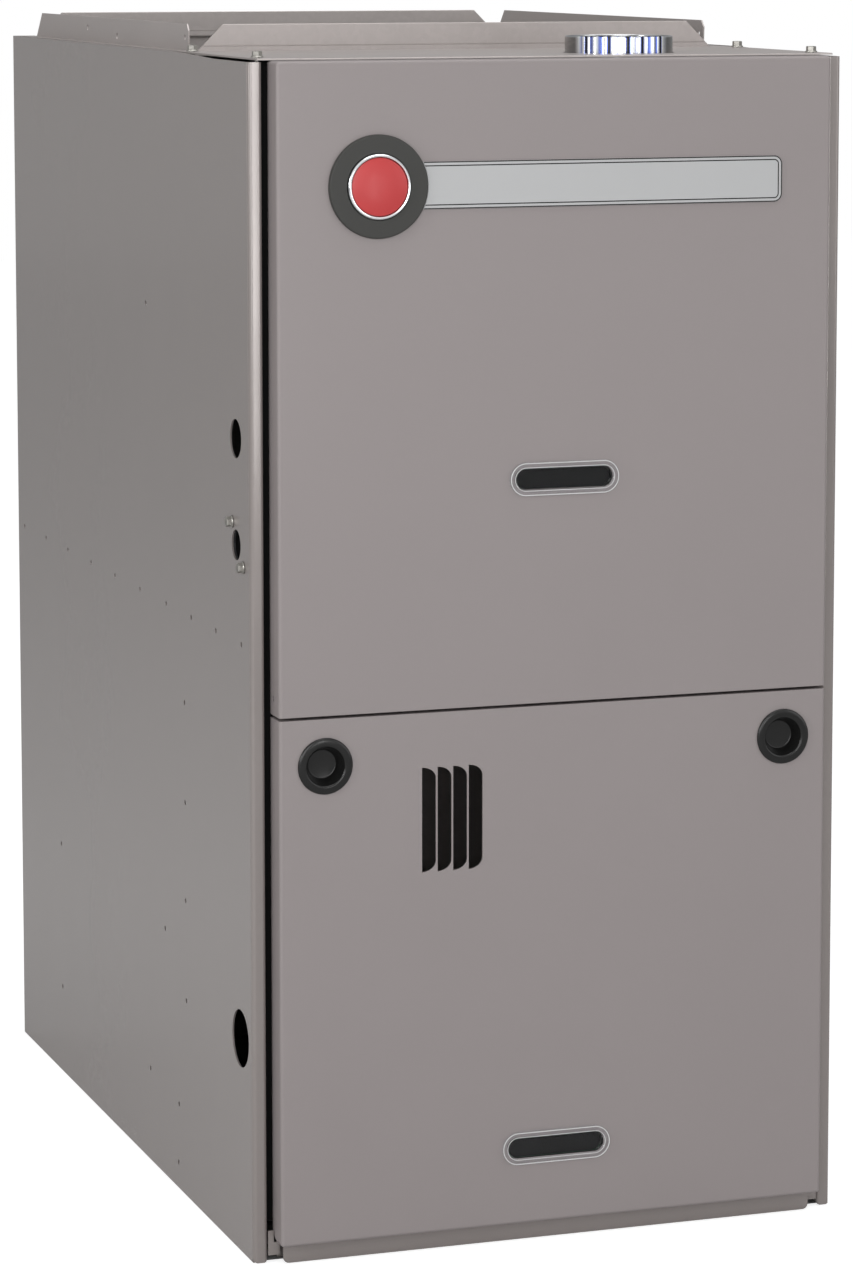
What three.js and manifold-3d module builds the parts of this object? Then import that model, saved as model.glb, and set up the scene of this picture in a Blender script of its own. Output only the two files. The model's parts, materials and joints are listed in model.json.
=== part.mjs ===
// Forced air gas furnace, upflow, in millimetres. X runs across the front and +Z is up.
// The doors face -Y. The origin is on the floor, at the middle of the overall box.
import * as THREE from "three";
import { mergeVertices } from "three/addons/utils/BufferGeometryUtils.js";
import Module from "manifold-3d";

const wasm = await Module();
wasm.setup();

// ---------------------------------------------------------------- driving dimensions

const SHEET = 1.2; // steel sheet of the casing and the doors
const GAP = 0.35; // clearance between pieces that touch
const WALL = 1.5; // heavier sheet and cast walls inside

const CASE = { halfWidth: 224.5, front: -337.5, back: 361.5, height: 860, bend: 1.6 };
const SIDE = { flangeInner: 214.4, flangeReturn: 12, rearFlange: 19, foot: 20, footEnd: 30, headroom: 2.5 };
const SIDE_HOLES = [
  { y: -302, z: 591, radius: 14 },
  { y: -302, z: 515, radius: 11 },
  { y: -306, z: 157.5, radius: 21 },
];

const DOOR = {
  face: -355,
  halfWidth: 209.2,
  top: 858.3,
  split: 397,
  bottom: 15,
  bend: 3,
  depth: 22,
  sill: 11,
};
const DOOR_BACK = DOOR.face + SHEET;
const SPLIT_GAP = 1.3;
const MITRE = 7; // cut at the lower ends of the lower door's side returns

const WINDOW = { length: 83.4, height: 24.4, proud: 2.4, viewLength: 71, viewHeight: 13.6, centres: [4, -1] };
const WINDOW_Z = [560, 71.5];
const CUP = {
  x: 175.5,
  z: 362,
  rim: 20.3,
  mouth: 15.3,
  floor: 11.3,
  depth: 9,
  proud: 1.8,
  neck: 17.6,
  wall: 1.4,
};
const LOUVRE = { count: 4, left: -103.3, pitch: 11.75, width: 10.6, bottom: 280.3, top: 356.2, drop: 6 };

const EMBLEM = {
  x: -135.5,
  z: 770.5,
  ring: 36.5,
  rim: 23.2,
  disc: 20.4,
  ringProud: 3,
  rimProud: 5,
  proud: 6.5,
};
const PLATE = { right: 170.7, bottom: 754, top: 787.3, corner: 6, thick: 0.9 };

const TOP = { halfWidth: 218, lipFront: -331.2, lipHalf: 205, lipDrop: 20, rearDrop: 14, ledge: 15 };
const DUCT = { halfWidth: 206, front: -138, back: 350, rise: 19.5, sideFront: -122, sideBack: 349 };
const VENT = { x: 78, y: -269, radius: 40, rise: 12, drop: 26, wall: 1 };

const DECK = { z: 445, front: -331.2, frontEdge: 365, apronHalf: 201 };
const VESTIBULE_Y = -142; // front face of the panel between the burner compartment and the heat exchanger
const BASE = { lip: -343.5, lipHalf: 201, back: -325.8, height: 26 };
const TAB = { inner: 202.4, neck: 207.4, outer: 209.4, face: -337.3, bottom: 5, shoulder: 14.4 };

const BURNER = { xs: [-60, 15, 90], z: 520, mouth: 17, throat: 9.5, inlet: 12.5, front: -288, back: -173.5 };
const TUBE = { radius: 22, wall: 1.3, pitch: 70, back: 335, forward: -60 };
const RACK = { left: -104, right: 134, bottom: 482, top: 562, front: -176, ear: -316, earHalf: 18 };
const PROBE_HOLES = { z: BURNER.z + 4, radius: 4, xs: [RACK.left + 14, RACK.right - 12] };
const GAS = { y: -306, radius: 9.5, end: 128 };
const VALVE = { left: -168, right: -114, bottom: 488, top: 552, front: -328, back: -284 };
const COLLECTOR = { left: -100, right: 130, bottom: 690, top: 772, front: -222 };
const INDUCER = {
  x: 33,
  z: 712,
  radius: 72,
  front: -286.4,
  back: COLLECTOR.front - GAP,
  neck: 31.5,
  neckTop: 790,
  shell: 2,
  inlet: 28,
  eye: 26,
  shaftHole: 8,
};
const WHEEL = { radius: 58, plateFront: 8, plateBack: 10, hub: 12, shaft: 4, blades: 12, bladeRoot: 20 };

const BLOWER = { y: 130, z: 222, half: 115, wheel: 125, wheelHalf: 104, start: 140, end: 190, cutoff: 70 };
const MOTOR = { radius: 68, from: -150, to: -14, boss: 20, shaftHole: 7.5, shaftDepth: 14 };
const SWITCH = { x: 120, z: 378, plunger: 4 };
const PANEL = { half: 150, top: 190, front: BASE.back + GAP };

// ---------------------------------------------------------------- finishes

const finish = (color, roughness, metalness) =>
  new THREE.MeshStandardMaterial({ color, roughness, metalness });

const FINISH = {
  paint: () => finish(0x8c8682, 0.42, 0.25),
  doorPaint: () => finish(0x908a87, 0.4, 0.25),
  galvanised: () => finish(0xa6a3a0, 0.42, 0.85),
  brightSteel: () => finish(0xc4c8cc, 0.2, 1),
  aluminised: () => finish(0x9c9c9a, 0.5, 0.8),
  zinc: () => finish(0x8f8d88, 0.35, 0.9),
  castAluminium: () => finish(0xa9abad, 0.45, 0.9),
  darkPaint: () => finish(0x2b2b2d, 0.5, 0.3),
  blackPlastic: () => finish(0x1e1f20, 0.45, 0),
  ringGrey: () => finish(0x3f403f, 0.35, 0.1),
  red: () => finish(0xb02a2c, 0.28, 0.15),
  silver: () => finish(0x9da2a4, 0.38, 0.5),
  clear: () => finish(0xb8bcbe, 0.12, 0),
  rubber: () => finish(0x232323, 0.8, 0),
  board: () => finish(0x1f5a36, 0.55, 0),
  ceramic: () => finish(0xe3ded2, 0.7, 0),
  redButton: () => finish(0xa52420, 0.5, 0),
};

// ---------------------------------------------------------------- solid helpers

// A closed geometry as a solid that can be joined and cut.
function solid(geometry) {
  const bare = new THREE.BufferGeometry();
  bare.setAttribute("position", geometry.getAttribute("position"));
  bare.setIndex(geometry.getIndex());
  const merged = mergeVertices(bare, 1e-4);
  const vertProperties = new Float32Array(merged.getAttribute("position").array);
  const triVerts = new Uint32Array(merged.getIndex().array);
  return new wasm.Manifold(new wasm.Mesh({ numProp: 3, vertProperties, triVerts }));
}

// The solid's surface back as a geometry.
function surface(body) {
  const mesh = body.getMesh();
  const geometry = new THREE.BufferGeometry();
  geometry.setAttribute("position", new THREE.BufferAttribute(mesh.vertProperties, 3));
  geometry.setIndex(new THREE.BufferAttribute(mesh.triVerts, 1));
  const flat = geometry.toNonIndexed();
  flat.computeVertexNormals();
  return flat;
}

const join = (first, ...others) =>
  surface(others.reduce((body, other) => body.add(solid(other)), solid(first)));

const cut = (first, ...cutters) =>
  surface(cutters.reduce((body, cutter) => body.subtract(solid(cutter)), solid(first)));

// A box between two values on each axis.
function block([x0, x1], [y0, y1], [z0, z1]) {
  const geometry = new THREE.BoxGeometry(x1 - x0, y1 - y0, z1 - z0);
  return geometry.translate((x0 + x1) / 2, (y0 + y1) / 2, (z0 + z1) / 2);
}

// Turns a geometry built along +Z so that it runs along the named axis.
// Along x, a drawing's axes become Y and Z. Along y, they become X and Z, and depth runs from `to` forward.
function along(axis, geometry, from, to) {
  if (axis === "x") {
    const turn = new THREE.Matrix4().makeBasis(
      new THREE.Vector3(0, 1, 0),
      new THREE.Vector3(0, 0, 1),
      new THREE.Vector3(1, 0, 0),
    );
    return geometry.applyMatrix4(turn).translate(from, 0, 0);
  }
  if (axis === "y") return geometry.rotateX(Math.PI / 2).translate(0, to, 0);
  return geometry.translate(0, 0, from);
}

// A flat drawing pushed out between two places along an axis. An arc in it takes twice curveSegments edges.
function prism(shape, axis, from, to, curveSegments = 4) {
  const geometry = new THREE.ExtrudeGeometry(shape, { depth: to - from, bevelEnabled: false, curveSegments });
  return along(axis, geometry, from, to);
}

// A round bar along an axis; u and v are its centre in the drawing plane of that axis.
function rod(axis, [u, v], radius, from, to, sides = 24) {
  const circle = new THREE.Shape().absarc(u, v, radius, 0, 2 * Math.PI);
  return prism(circle, axis, from, to, sides / 2);
}

// A solid of revolution about an axis, from [radius, distance along the axis] points in either order.
function turned(axis, [u, v], profile, sides = 32) {
  const points = profile.map(([radius, distance]) => new THREE.Vector2(radius, distance));
  if (THREE.ShapeUtils.area(points) < 0) points.reverse();
  const geometry = new THREE.LatheGeometry(points, sides).rotateX(Math.PI / 2);
  if (axis === "x") return geometry.rotateY(Math.PI / 2).translate(0, u, v);
  if (axis === "y") return geometry.rotateX(-Math.PI / 2).translate(u, 0, v);
  return geometry.translate(u, v, 0);
}

// The outline of a rectangle with rounded corners.
function roundedRectangle([u0, u1], [v0, v1], radius) {
  const shape = new THREE.Shape();
  shape.absarc(u0 + radius, v0 + radius, radius, Math.PI, 1.5 * Math.PI);
  shape.absarc(u1 - radius, v0 + radius, radius, 1.5 * Math.PI, 2 * Math.PI);
  shape.absarc(u1 - radius, v1 - radius, radius, 0, 0.5 * Math.PI);
  shape.absarc(u0 + radius, v1 - radius, radius, 0.5 * Math.PI, Math.PI);
  return shape;
}

// The outline of a slot with half-round ends.
const obround = (u, v, length, height) =>
  roundedRectangle([u - length / 2, u + length / 2], [v - height / 2, v + height / 2], height / 2 - 0.01);

const polygon = (points) => new THREE.Shape(points.map(([u, v]) => new THREE.Vector2(u, v)));

const rectangle = ([u0, u1], [v0, v1]) => polygon([[u0, v0], [u1, v0], [u1, v1], [u0, v1]]);

// Stations along a polyline whose corners are rounded: each has a point and the direction there.
function roundedRoute(corners, bend, arcSteps) {
  const points = corners.map((corner) => new THREE.Vector3(...corner));
  const stations = [];
  const push = (point, tangent) => {
    const last = stations.at(-1);
    if (!last || last.point.distanceTo(point) > 1e-3) stations.push({ point, tangent });
  };
  const heading = (i) => points[i + 1].clone().sub(points[i]).normalize();
  push(points[0], heading(0));
  for (let i = 1; i < points.length - 1; i += 1) {
    const before = heading(i - 1);
    const after = heading(i);
    const angle = before.angleTo(after);
    const reach = bend * Math.tan(angle / 2);
    const start = points[i].clone().addScaledVector(before, -reach);
    const inward = after.clone().addScaledVector(before, -after.dot(before)).normalize();
    const centre = start.clone().addScaledVector(inward, bend);
    for (let step = 0; step <= arcSteps; step += 1) {
      const turn = (angle * step) / arcSteps;
      const point = centre
        .clone()
        .addScaledVector(inward, -bend * Math.cos(turn))
        .addScaledVector(before, bend * Math.sin(turn));
      const tangent = before.clone().multiplyScalar(Math.cos(turn)).addScaledVector(inward, Math.sin(turn));
      push(point, tangent);
    }
  }
  push(points.at(-1), heading(points.length - 2));
  return stations;
}

// A curve that an extrusion follows station by station, so that straight runs take one step.
class StationPath extends THREE.Curve {
  constructor(stations) {
    super();
    this.stations = stations;
  }

  at(t) {
    return this.stations[Math.round(t * (this.stations.length - 1))];
  }

  getPoint(t) {
    return this.at(t).point.clone();
  }

  getPointAt(t) {
    return this.getPoint(t);
  }

  getTangent(t) {
    return this.at(t).tangent.clone();
  }

  getTangentAt(t) {
    return this.getTangent(t);
  }
}

// A pipe along a rounded route; a wall of 0 makes a solid bar.
function pipe(corners, { radius, wall = 0, bend, sides = 12, arcSteps = 4 }) {
  const stations = roundedRoute(corners, bend, arcSteps);
  const section = new THREE.Shape().absarc(0, 0, radius, 0, 2 * Math.PI);
  if (wall > 0) section.holes.push(new THREE.Path().absarc(0, 0, radius - wall, 0, 2 * Math.PI));
  return new THREE.ExtrudeGeometry(section, {
    steps: stations.length - 1,
    curveSegments: sides / 2,
    extrudePath: new StationPath(stations),
  });
}

// The edge-on drawing of a folded sheet, from the corners of its middle line.
function foldedSheet(corners, thickness = SHEET, bend = CASE.bend, arcSteps = 3) {
  const flat = corners.map(([u, v]) => [u, v, 0]);
  const stations = roundedRoute(flat, bend, arcSteps);
  const side = (sign) =>
    stations.map(({ point, tangent }) => [
      point.x - (sign * tangent.y * thickness) / 2,
      point.y + (sign * tangent.x * thickness) / 2,
    ]);
  return polygon([...side(1), ...side(-1).reverse()]);
}

// ---------------------------------------------------------------- assembly

const furnace = new THREE.Group();

function add(name, geometry, material) {
  const mesh = new THREE.Mesh(geometry, material);
  mesh.name = name;
  furnace.add(mesh);
}

// ---------------------------------------------------------------- casing

// One side: rear flange, skin, front flange and its return, with inward ledges at the head and foot.
function sidePanel(side) {
  const skin = side * (CASE.halfWidth - SHEET / 2);
  const inner = side * (CASE.halfWidth - SHEET);
  const rear = CASE.back - SHEET / 2;
  const front = CASE.front + SHEET / 2;
  const returnX = side * (SIDE.flangeInner + SHEET / 2);
  const profile = foldedSheet([
    [skin - side * SIDE.rearFlange, rear],
    [skin, rear],
    [skin, front],
    [returnX, front],
    [returnX, CASE.front + SIDE.flangeReturn],
  ]);
  const span = (a, b) => [Math.min(a, b), Math.max(a, b)];
  const ledgeX = span(skin, inner - side * TOP.ledge);
  const ledgeTop = CASE.height - SHEET - 2 * GAP;
  const ledge = block(ledgeX, [CASE.front + 16, CASE.back - 4], [ledgeTop - SHEET, ledgeTop]);
  const footX = span(skin, inner - side * SIDE.foot);
  const foot = block(footX, [CASE.front + SIDE.footEnd, CASE.back - SIDE.footEnd], [0, SHEET]);
  const flangeHead = block(
    span(inner, side * (SIDE.flangeInner - 1)),
    [CASE.front - 1, CASE.front + SIDE.flangeReturn + 1],
    [CASE.height - SIDE.headroom, CASE.height + 1],
  );
  return cut(join(prism(profile, "z", 0, CASE.height), ledge, foot), flangeHead);
}

function leftSidePanel() {
  const outside = -CASE.halfWidth;
  const punches = SIDE_HOLES.map(({ y, z, radius }) =>
    rod("x", [y, z], radius, outside - 2, outside + SHEET + 2, 16),
  );
  return cut(sidePanel(-1), ...punches);
}

// The rear closing sheet, inside the side panels' rear flanges.
function backPanel() {
  const half = CASE.halfWidth - SHEET - GAP;
  const rear = CASE.back - SHEET - GAP;
  return block([-half, half], [rear - SHEET, rear], [SHEET + GAP, CASE.height - SHEET - 1.5 * GAP]);
}

// The top sheet: the vent hole, the supply air opening with its four flanges, and a lip front and rear.
function topPlate() {
  const top = CASE.height - GAP / 3;
  const under = top - SHEET;
  const rear = CASE.back - SHEET - GAP;
  const outline = rectangle([-TOP.halfWidth, TOP.halfWidth], [CASE.front, rear]);
  const opening = rectangle([-DUCT.halfWidth, DUCT.halfWidth], [DUCT.front, DUCT.back]);
  outline.holes.push(opening);
  outline.holes.push(new THREE.Path().absarc(VENT.x, VENT.y, VENT.radius + GAP, 0, 2 * Math.PI));
  const sheet = prism(outline, "z", under, top, 16);

  const crest = CASE.height + DUCT.rise;
  const low = DUCT.halfWidth - 2;
  const high = low - DUCT.rise;
  const crossEnd = polygon([
    [-low, under],
    [low, under],
    [low, top],
    [high, crest],
    [-high, crest],
    [-low, top],
  ]);
  const crossFlange = (y) => prism(crossEnd, "y", y - SHEET / 2, y + SHEET / 2);
  const { sideFront, sideBack, rise } = DUCT;
  const sideEnd = polygon([
    [sideFront, under],
    [sideBack, under],
    [sideBack, top],
    [sideBack - rise, crest],
    [sideFront + 5, crest],
    [sideFront, top],
  ]);
  const sideFlange = (x) => prism(sideEnd, "x", x - SHEET / 2, x + SHEET / 2);
  const lip = (y, drop) =>
    block([-TOP.lipHalf, TOP.lipHalf], [y, y + SHEET], [top - drop, top - SHEET / 2]);
  return join(
    sheet,
    crossFlange(DUCT.front),
    crossFlange(DUCT.back),
    sideFlange(-DUCT.halfWidth),
    sideFlange(DUCT.halfWidth),
    lip(TOP.lipFront, TOP.lipDrop),
    lip(rear - 2 * SHEET - GAP, TOP.rearDrop),
  );
}

// The scroll's outline in the plane of Y and Z: a growing spiral, then the outlet neck up to the deck.
function scrollOutline(inset, neckTop) {
  const { y, z, start, end, cutoff } = BLOWER;
  const steps = 24;
  const sweep = THREE.MathUtils.degToRad(cutoff + 180);
  const points = [];
  for (let i = 0; i <= steps; i += 1) {
    const angle = THREE.MathUtils.degToRad(cutoff) - (sweep * i) / steps;
    const radius = start + ((end - start) * i) / steps - inset;
    points.push([y + radius * Math.cos(angle), z + radius * Math.sin(angle)]);
  }
  points.push([y - end + inset, neckTop]);
  points.push([points[0][0], neckTop]);
  return polygon(points);
}

const outletSpan = () => {
  const tongue = BLOWER.start * Math.cos(THREE.MathUtils.degToRad(BLOWER.cutoff));
  return [BLOWER.y - BLOWER.end, BLOWER.y + tongue];
};

// The sheet between the compartments, with the blower's outlet and a front apron behind the door joint.
function blowerDeck() {
  const half = CASE.halfWidth - SHEET - GAP;
  const low = DECK.z - SHEET / 2;
  const high = DECK.z + SHEET / 2;
  const notch = CASE.front + SIDE.flangeReturn + GAP;
  const rear = CASE.back - 2 * SHEET - 2 * GAP;
  const { apronHalf } = DECK;
  const sheet = block([-half, half], [notch, rear], [low, high]);
  const apronTop = block([-apronHalf, apronHalf], [DECK.front, notch + 1], [low, high]);
  const apron = block([-apronHalf, apronHalf], [DECK.front, DECK.front + SHEET], [DECK.frontEdge, high]);
  const [outletFront, outletBack] = outletSpan();
  const outlet = block(
    [-BLOWER.half + WALL, BLOWER.half - WALL],
    [outletFront + WALL, outletBack - WALL],
    [low - 1, high + 1],
  );
  const clearance = SWITCH.plunger + 0.5;
  const plungerHole = rod("y", [SWITCH.x, SWITCH.z], clearance, DECK.front - 1, DECK.front + 3, 12);
  return cut(join(sheet, apronTop, apron), outlet, plungerHole);
}

// The upright sheet behind the burners, with a port for each flame and each flue outlet.
function vestibulePanel() {
  const half = CASE.halfWidth - SHEET - GAP;
  const sheet = block(
    [-half, half],
    [VESTIBULE_Y, VESTIBULE_Y + SHEET],
    [DECK.z + SHEET / 2 + GAP, CASE.height - SHEET - 2 * GAP - SHEET - GAP],
  );
  const bore = TUBE.radius - TUBE.wall;
  const port = (x, z) => rod("y", [x, z], bore, VESTIBULE_Y - 1, VESTIBULE_Y + SHEET + 1, 12);
  const outletZ = BURNER.z + 3 * TUBE.pitch;
  return cut(sheet, ...BURNER.xs.map((x) => port(x, BURNER.z)), ...BURNER.xs.map((x) => port(x, outletZ)));
}

// The front base rail: a lip, a web over it, a leg behind, and a short tab set back at each end.
function baseFrontRail() {
  const top = BASE.height - SHEET / 2;
  const profile = foldedSheet([
    [BASE.lip + SHEET / 2, 0],
    [BASE.lip + SHEET / 2, top],
    [BASE.back - SHEET / 2, top],
    [BASE.back - SHEET / 2, 0],
  ]);
  const channel = prism(profile, "x", -BASE.lipHalf, BASE.lipHalf);
  const web = block([-TAB.neck, TAB.neck], [TAB.face, BASE.back - 2], [BASE.height - SHEET, BASE.height]);
  const tab = (side) => {
    const piece = (outer, head) => {
      const across = [side * TAB.inner, side * outer].sort((low, high) => low - high);
      return block(across, [TAB.face, TAB.face + SHEET], [TAB.bottom, head]);
    };
    return join(piece(TAB.neck, BASE.height), piece(TAB.outer, TAB.shoulder));
  };
  return join(channel, web, tab(-1), tab(1));
}

function baseRearRail() {
  const rear = CASE.back - 2 * SHEET - 3 * GAP;
  const half = CASE.halfWidth - SHEET - GAP;
  const top = BASE.height - SHEET / 2;
  const profile = foldedSheet([
    [rear - 24, SHEET / 2],
    [rear - SHEET / 2, SHEET / 2],
    [rear - SHEET / 2, top],
    [rear - 14, top],
  ]);
  return prism(profile, "x", -half, half);
}

// ---------------------------------------------------------------- doors

// A slab whose edges are rounded all round its front; the back is left square.
function softSlab(halfWidth, [z0, z1], front, back, radius) {
  const outline = rectangle([-halfWidth, halfWidth], [z0, z1]);
  const geometry = new THREE.ExtrudeGeometry(outline, {
    depth: back - front,
    bevelEnabled: true,
    bevelThickness: radius,
    bevelSize: radius,
    bevelOffset: -radius,
    bevelSegments: 4,
  });
  const behind = block([-halfWidth - 1, halfWidth + 1], [back, back + 2 * radius + 1], [z0 - 1, z1 + 1]);
  return cut(along("y", geometry, 0, back), behind);
}

// A folded pan: a rounded slab hollowed from behind, the sheet left all round.
function doorPan([z0, z1]) {
  const back = DOOR.face + DOOR.depth;
  const outer = softSlab(DOOR.halfWidth, [z0, z1], DOOR.face + DOOR.bend, back, DOOR.bend);
  const inner = softSlab(
    DOOR.halfWidth - SHEET,
    [z0 + SHEET, z1 - SHEET],
    DOOR_BACK + DOOR.bend - SHEET,
    back + 1,
    DOOR.bend - SHEET,
  );
  return cut(outer, inner);
}

const windowHole = (index) => {
  const outline = obround(WINDOW.centres[index], WINDOW_Z[index], WINDOW.length - 8, WINDOW.height - 8);
  return prism(outline, "y", DOOR.face - 1, DOOR_BACK + 1, 4);
};

function upperDoor() {
  return cut(doorPan([DOOR.split + SPLIT_GAP / 2, DOOR.top]), windowHole(0));
}

// One louvre slot: a straight left edge and a right edge whose corners fall away.
function louvreSlot(index) {
  const left = LOUVRE.left + index * LOUVRE.pitch;
  const right = left + LOUVRE.width;
  const { bottom, top, drop } = LOUVRE;
  const shape = new THREE.Shape();
  shape.moveTo(left, bottom);
  shape.quadraticCurveTo(right, bottom, right, bottom + 2 * drop);
  shape.lineTo(right, top - 2 * drop);
  shape.quadraticCurveTo(right, top, left, top);
  return prism(shape, "y", DOOR.face - 1, DOOR_BACK + 1, 6);
}

function lowerDoor() {
  const pan = doorPan([DOOR.bottom, DOOR.split - SPLIT_GAP / 2]);
  const cupHole = (x) => rod("y", [x, CUP.z], CUP.neck + GAP, DOOR.face - 1, DOOR_BACK + 1, 20);
  const slots = Array.from({ length: LOUVRE.count }, (_, index) => louvreSlot(index));
  // The bottom return is shallower than the sides, and the sides are cut back where they meet it.
  const back = DOOR.face + DOOR.depth;
  const sillCut = block(
    [-DOOR.halfWidth + SHEET, DOOR.halfWidth - SHEET],
    [DOOR.face + DOOR.sill, back + 1],
    [DOOR.bottom - 1, DOOR.bottom + SHEET + 1],
  );
  const corner = polygon([
    [DOOR.face + DOOR.sill, DOOR.bottom - 1],
    [back + 1, DOOR.bottom - 1],
    [back + 1, DOOR.bottom + MITRE],
    [back, DOOR.bottom + MITRE],
  ]);
  const mitre = prism(corner, "x", -DOOR.halfWidth - 1, DOOR.halfWidth + 1);
  return cut(pan, windowHole(1), cupHole(-CUP.x), cupHole(CUP.x), ...slots, sillCut, mitre);
}

// A clear lens: a flange on the door's face, a body through the hole and a shallow view recess.
function sightWindow(index) {
  const u = WINDOW.centres[index];
  const v = WINDOW_Z[index];
  const { length, height, proud, viewLength, viewHeight } = WINDOW;
  const flange = prism(obround(u, v, length, height), "y", DOOR.face - GAP - proud, DOOR.face - GAP, 4);
  const bodyOutline = obround(u, v, length - 8 - 2 * GAP, height - 8 - 2 * GAP);
  const body = prism(bodyOutline, "y", DOOR.face - GAP - 1, DOOR_BACK + 3, 4);
  const viewOutline = obround(u, v, viewLength, viewHeight);
  const view = prism(viewOutline, "y", DOOR.face - 6, DOOR.face - GAP - proud + 1.2, 4);
  return cut(join(flange, body), view);
}

// A finger pull: a domed rim on the face and a tapered cup that goes in through the door.
function fingerCup(x) {
  const face = DOOR.face - GAP;
  const { rim, mouth, floor, depth, proud, neck, wall } = CUP;
  const profile = [
    [0, face + depth - 0.6],
    [floor * 0.6, face + depth - 0.2],
    [floor, face + depth - 1.4],
    [mouth - 0.6, face - 0.2],
    [mouth + 0.4, face - proud + 0.4],
    [mouth + 1.8, face - proud],
    [rim - 1.6, face - proud + 0.3],
    [rim, face - 0.3],
    [rim, face],
    [neck - 0.2, face],
    [neck - 0.4, face + 3],
    [floor + wall + 0.8, face + depth],
    [floor * 0.7, face + depth + wall],
    [0, face + depth + wall],
  ];
  return turned("y", [x, CUP.z], profile, 24);
}

// ---------------------------------------------------------------- emblem and nameplate

function emblemRing() {
  const face = DOOR.face - GAP;
  const seat = EMBLEM.rim + GAP;
  const profile = [
    [seat, face],
    [seat, face - EMBLEM.ringProud],
    [EMBLEM.ring - 2, face - EMBLEM.ringProud],
    [EMBLEM.ring - 0.4, face - EMBLEM.ringProud + 1],
    [EMBLEM.ring, face],
    [seat, face],
  ];
  return turned("y", [EMBLEM.x, EMBLEM.z], profile, 40);
}

function emblemRim() {
  const face = DOOR.face - GAP;
  const seat = EMBLEM.disc + GAP;
  const profile = [
    [seat, face],
    [seat, face - EMBLEM.rimProud + 0.8],
    [(seat + EMBLEM.rim) / 2, face - EMBLEM.rimProud],
    [EMBLEM.rim, face - EMBLEM.rimProud + 1.2],
    [EMBLEM.rim, face],
    [seat, face],
  ];
  return turned("y", [EMBLEM.x, EMBLEM.z], profile, 40);
}

function emblemDisc() {
  const face = DOOR.face - GAP;
  const crown = DOOR.face - EMBLEM.proud;
  const profile = [
    [0, face],
    [EMBLEM.disc, face],
    [EMBLEM.disc, crown + 2.2],
    [EMBLEM.disc * 0.85, crown + 1],
    [EMBLEM.disc * 0.5, crown + 0.25],
    [0, crown],
  ];
  return turned("y", [EMBLEM.x, EMBLEM.z], profile, 40);
}

function nameplate() {
  const face = DOOR.face - GAP;
  const outline = roundedRectangle([EMBLEM.x, PLATE.right], [PLATE.bottom, PLATE.top], PLATE.corner);
  const strip = prism(outline, "y", face - PLATE.thick, face, 2);
  const around = rod("y", [EMBLEM.x, EMBLEM.z], EMBLEM.ring + GAP, face - 5, face + 1, 40);
  return cut(strip, around);
}

// ---------------------------------------------------------------- heat exchanger and vent

// A serpentine of four passes, each above the last, from its burner's port to the flue outlet.
function heatTube(x) {
  const front = VESTIBULE_Y + SHEET + GAP;
  const level = (pass) => BURNER.z + pass * TUBE.pitch;
  const route = [
    [x, front, level(0)],
    [x, TUBE.back, level(0)],
    [x, TUBE.back, level(1)],
    [x, TUBE.forward - TUBE.pitch / 2, level(1)],
    [x, TUBE.forward - TUBE.pitch / 2, level(2)],
    [x, TUBE.back, level(2)],
    [x, TUBE.back, level(3)],
    [x, front, level(3)],
  ];
  return pipe(route, { radius: TUBE.radius, wall: TUBE.wall, bend: TUBE.pitch / 2, sides: 10, arcSteps: 3 });
}

// The flue collector: a box open towards the heat exchanger, with the inducer's inlet in its front.
function collectorBox() {
  const { left, right, bottom, top, front } = COLLECTOR;
  const back = VESTIBULE_Y - GAP;
  return cut(
    block([left, right], [front, back], [bottom, top]),
    block([left + WALL, right - WALL], [front + WALL, back + 1], [bottom + WALL, top - WALL]),
    rod("y", [INDUCER.x, INDUCER.z], INDUCER.inlet, front - 1, front + WALL + 1, 16),
  );
}

function inducerHousing() {
  const { x, z, radius, front, back, neck, neckTop, shell } = INDUCER;
  const middle = (front + back) / 2;
  const drum = rod("y", [x, z], radius, front, back, 24);
  const spout = rod("z", [VENT.x, middle], neck, z, neckTop, 20);
  const hollow = rod("y", [x, z], radius - shell, front + shell, back - shell, 24);
  const bore = rod("z", [VENT.x, middle], neck - shell, z, neckTop + 1, 20);
  const boreInside = solid(bore).intersect(
    solid(block([VENT.x - neck, VENT.x + neck], [front + shell, back - shell], [z, neckTop + 2])),
  );
  const eye = rod("y", [x, z], INDUCER.eye, back - shell - 1, back + 1, 16);
  const shaftHole = rod("y", [x, z], INDUCER.shaftHole, front - 1, front + shell + 1, 12);
  return cut(join(drum, spout), hollow, surface(boreInside), eye, shaftHole);
}

// A paddle wheel with its hub and shaft, turning about Y.
function inducerWheel() {
  const { x, z, front, back } = INDUCER;
  const { radius, plateFront, plateBack, blades, bladeRoot } = WHEEL;
  const plate = rod("y", [x, z], radius, front + plateFront, front + plateBack, 24);
  const hub = rod("y", [x, z], WHEEL.hub, front + 5, back - 12, 12);
  const shaft = rod("y", [x, z], WHEEL.shaft, front - 14, front + 6, 10);
  const bladeAt = (index) => {
    const blade = block([bladeRoot, radius - 0.5], [front + plateFront + 1, back - 10], [-0.8, 0.8]);
    return blade.rotateY((index * 2 * Math.PI) / blades + 0.2).translate(x, 0, z);
  };
  const spokes = Array.from({ length: blades }, (_, index) => bladeAt(index));
  return join(plate, hub, shaft, ...spokes);
}

const INDUCER_MOTOR = { radius: 40, length: 56, boss: 14, shaftHole: 6, shaftDepth: 18 };

function inducerMotor() {
  const { x, z, front } = INDUCER;
  const { radius, length, boss, shaftHole, shaftDepth } = INDUCER_MOTOR;
  const profile = [
    [0, front - length],
    [boss, front - length],
    [boss + 4, front - length + 4],
    [radius - 4, front - length + 6],
    [radius, front - length + 11],
    [radius, front - 10],
    [radius - 4, front - 5],
    [radius / 2, front - GAP],
    [shaftHole, front - GAP],
    [shaftHole, front - shaftDepth],
    [0, front - shaftDepth],
  ];
  return turned("y", [x, z], profile, 24);
}

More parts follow.
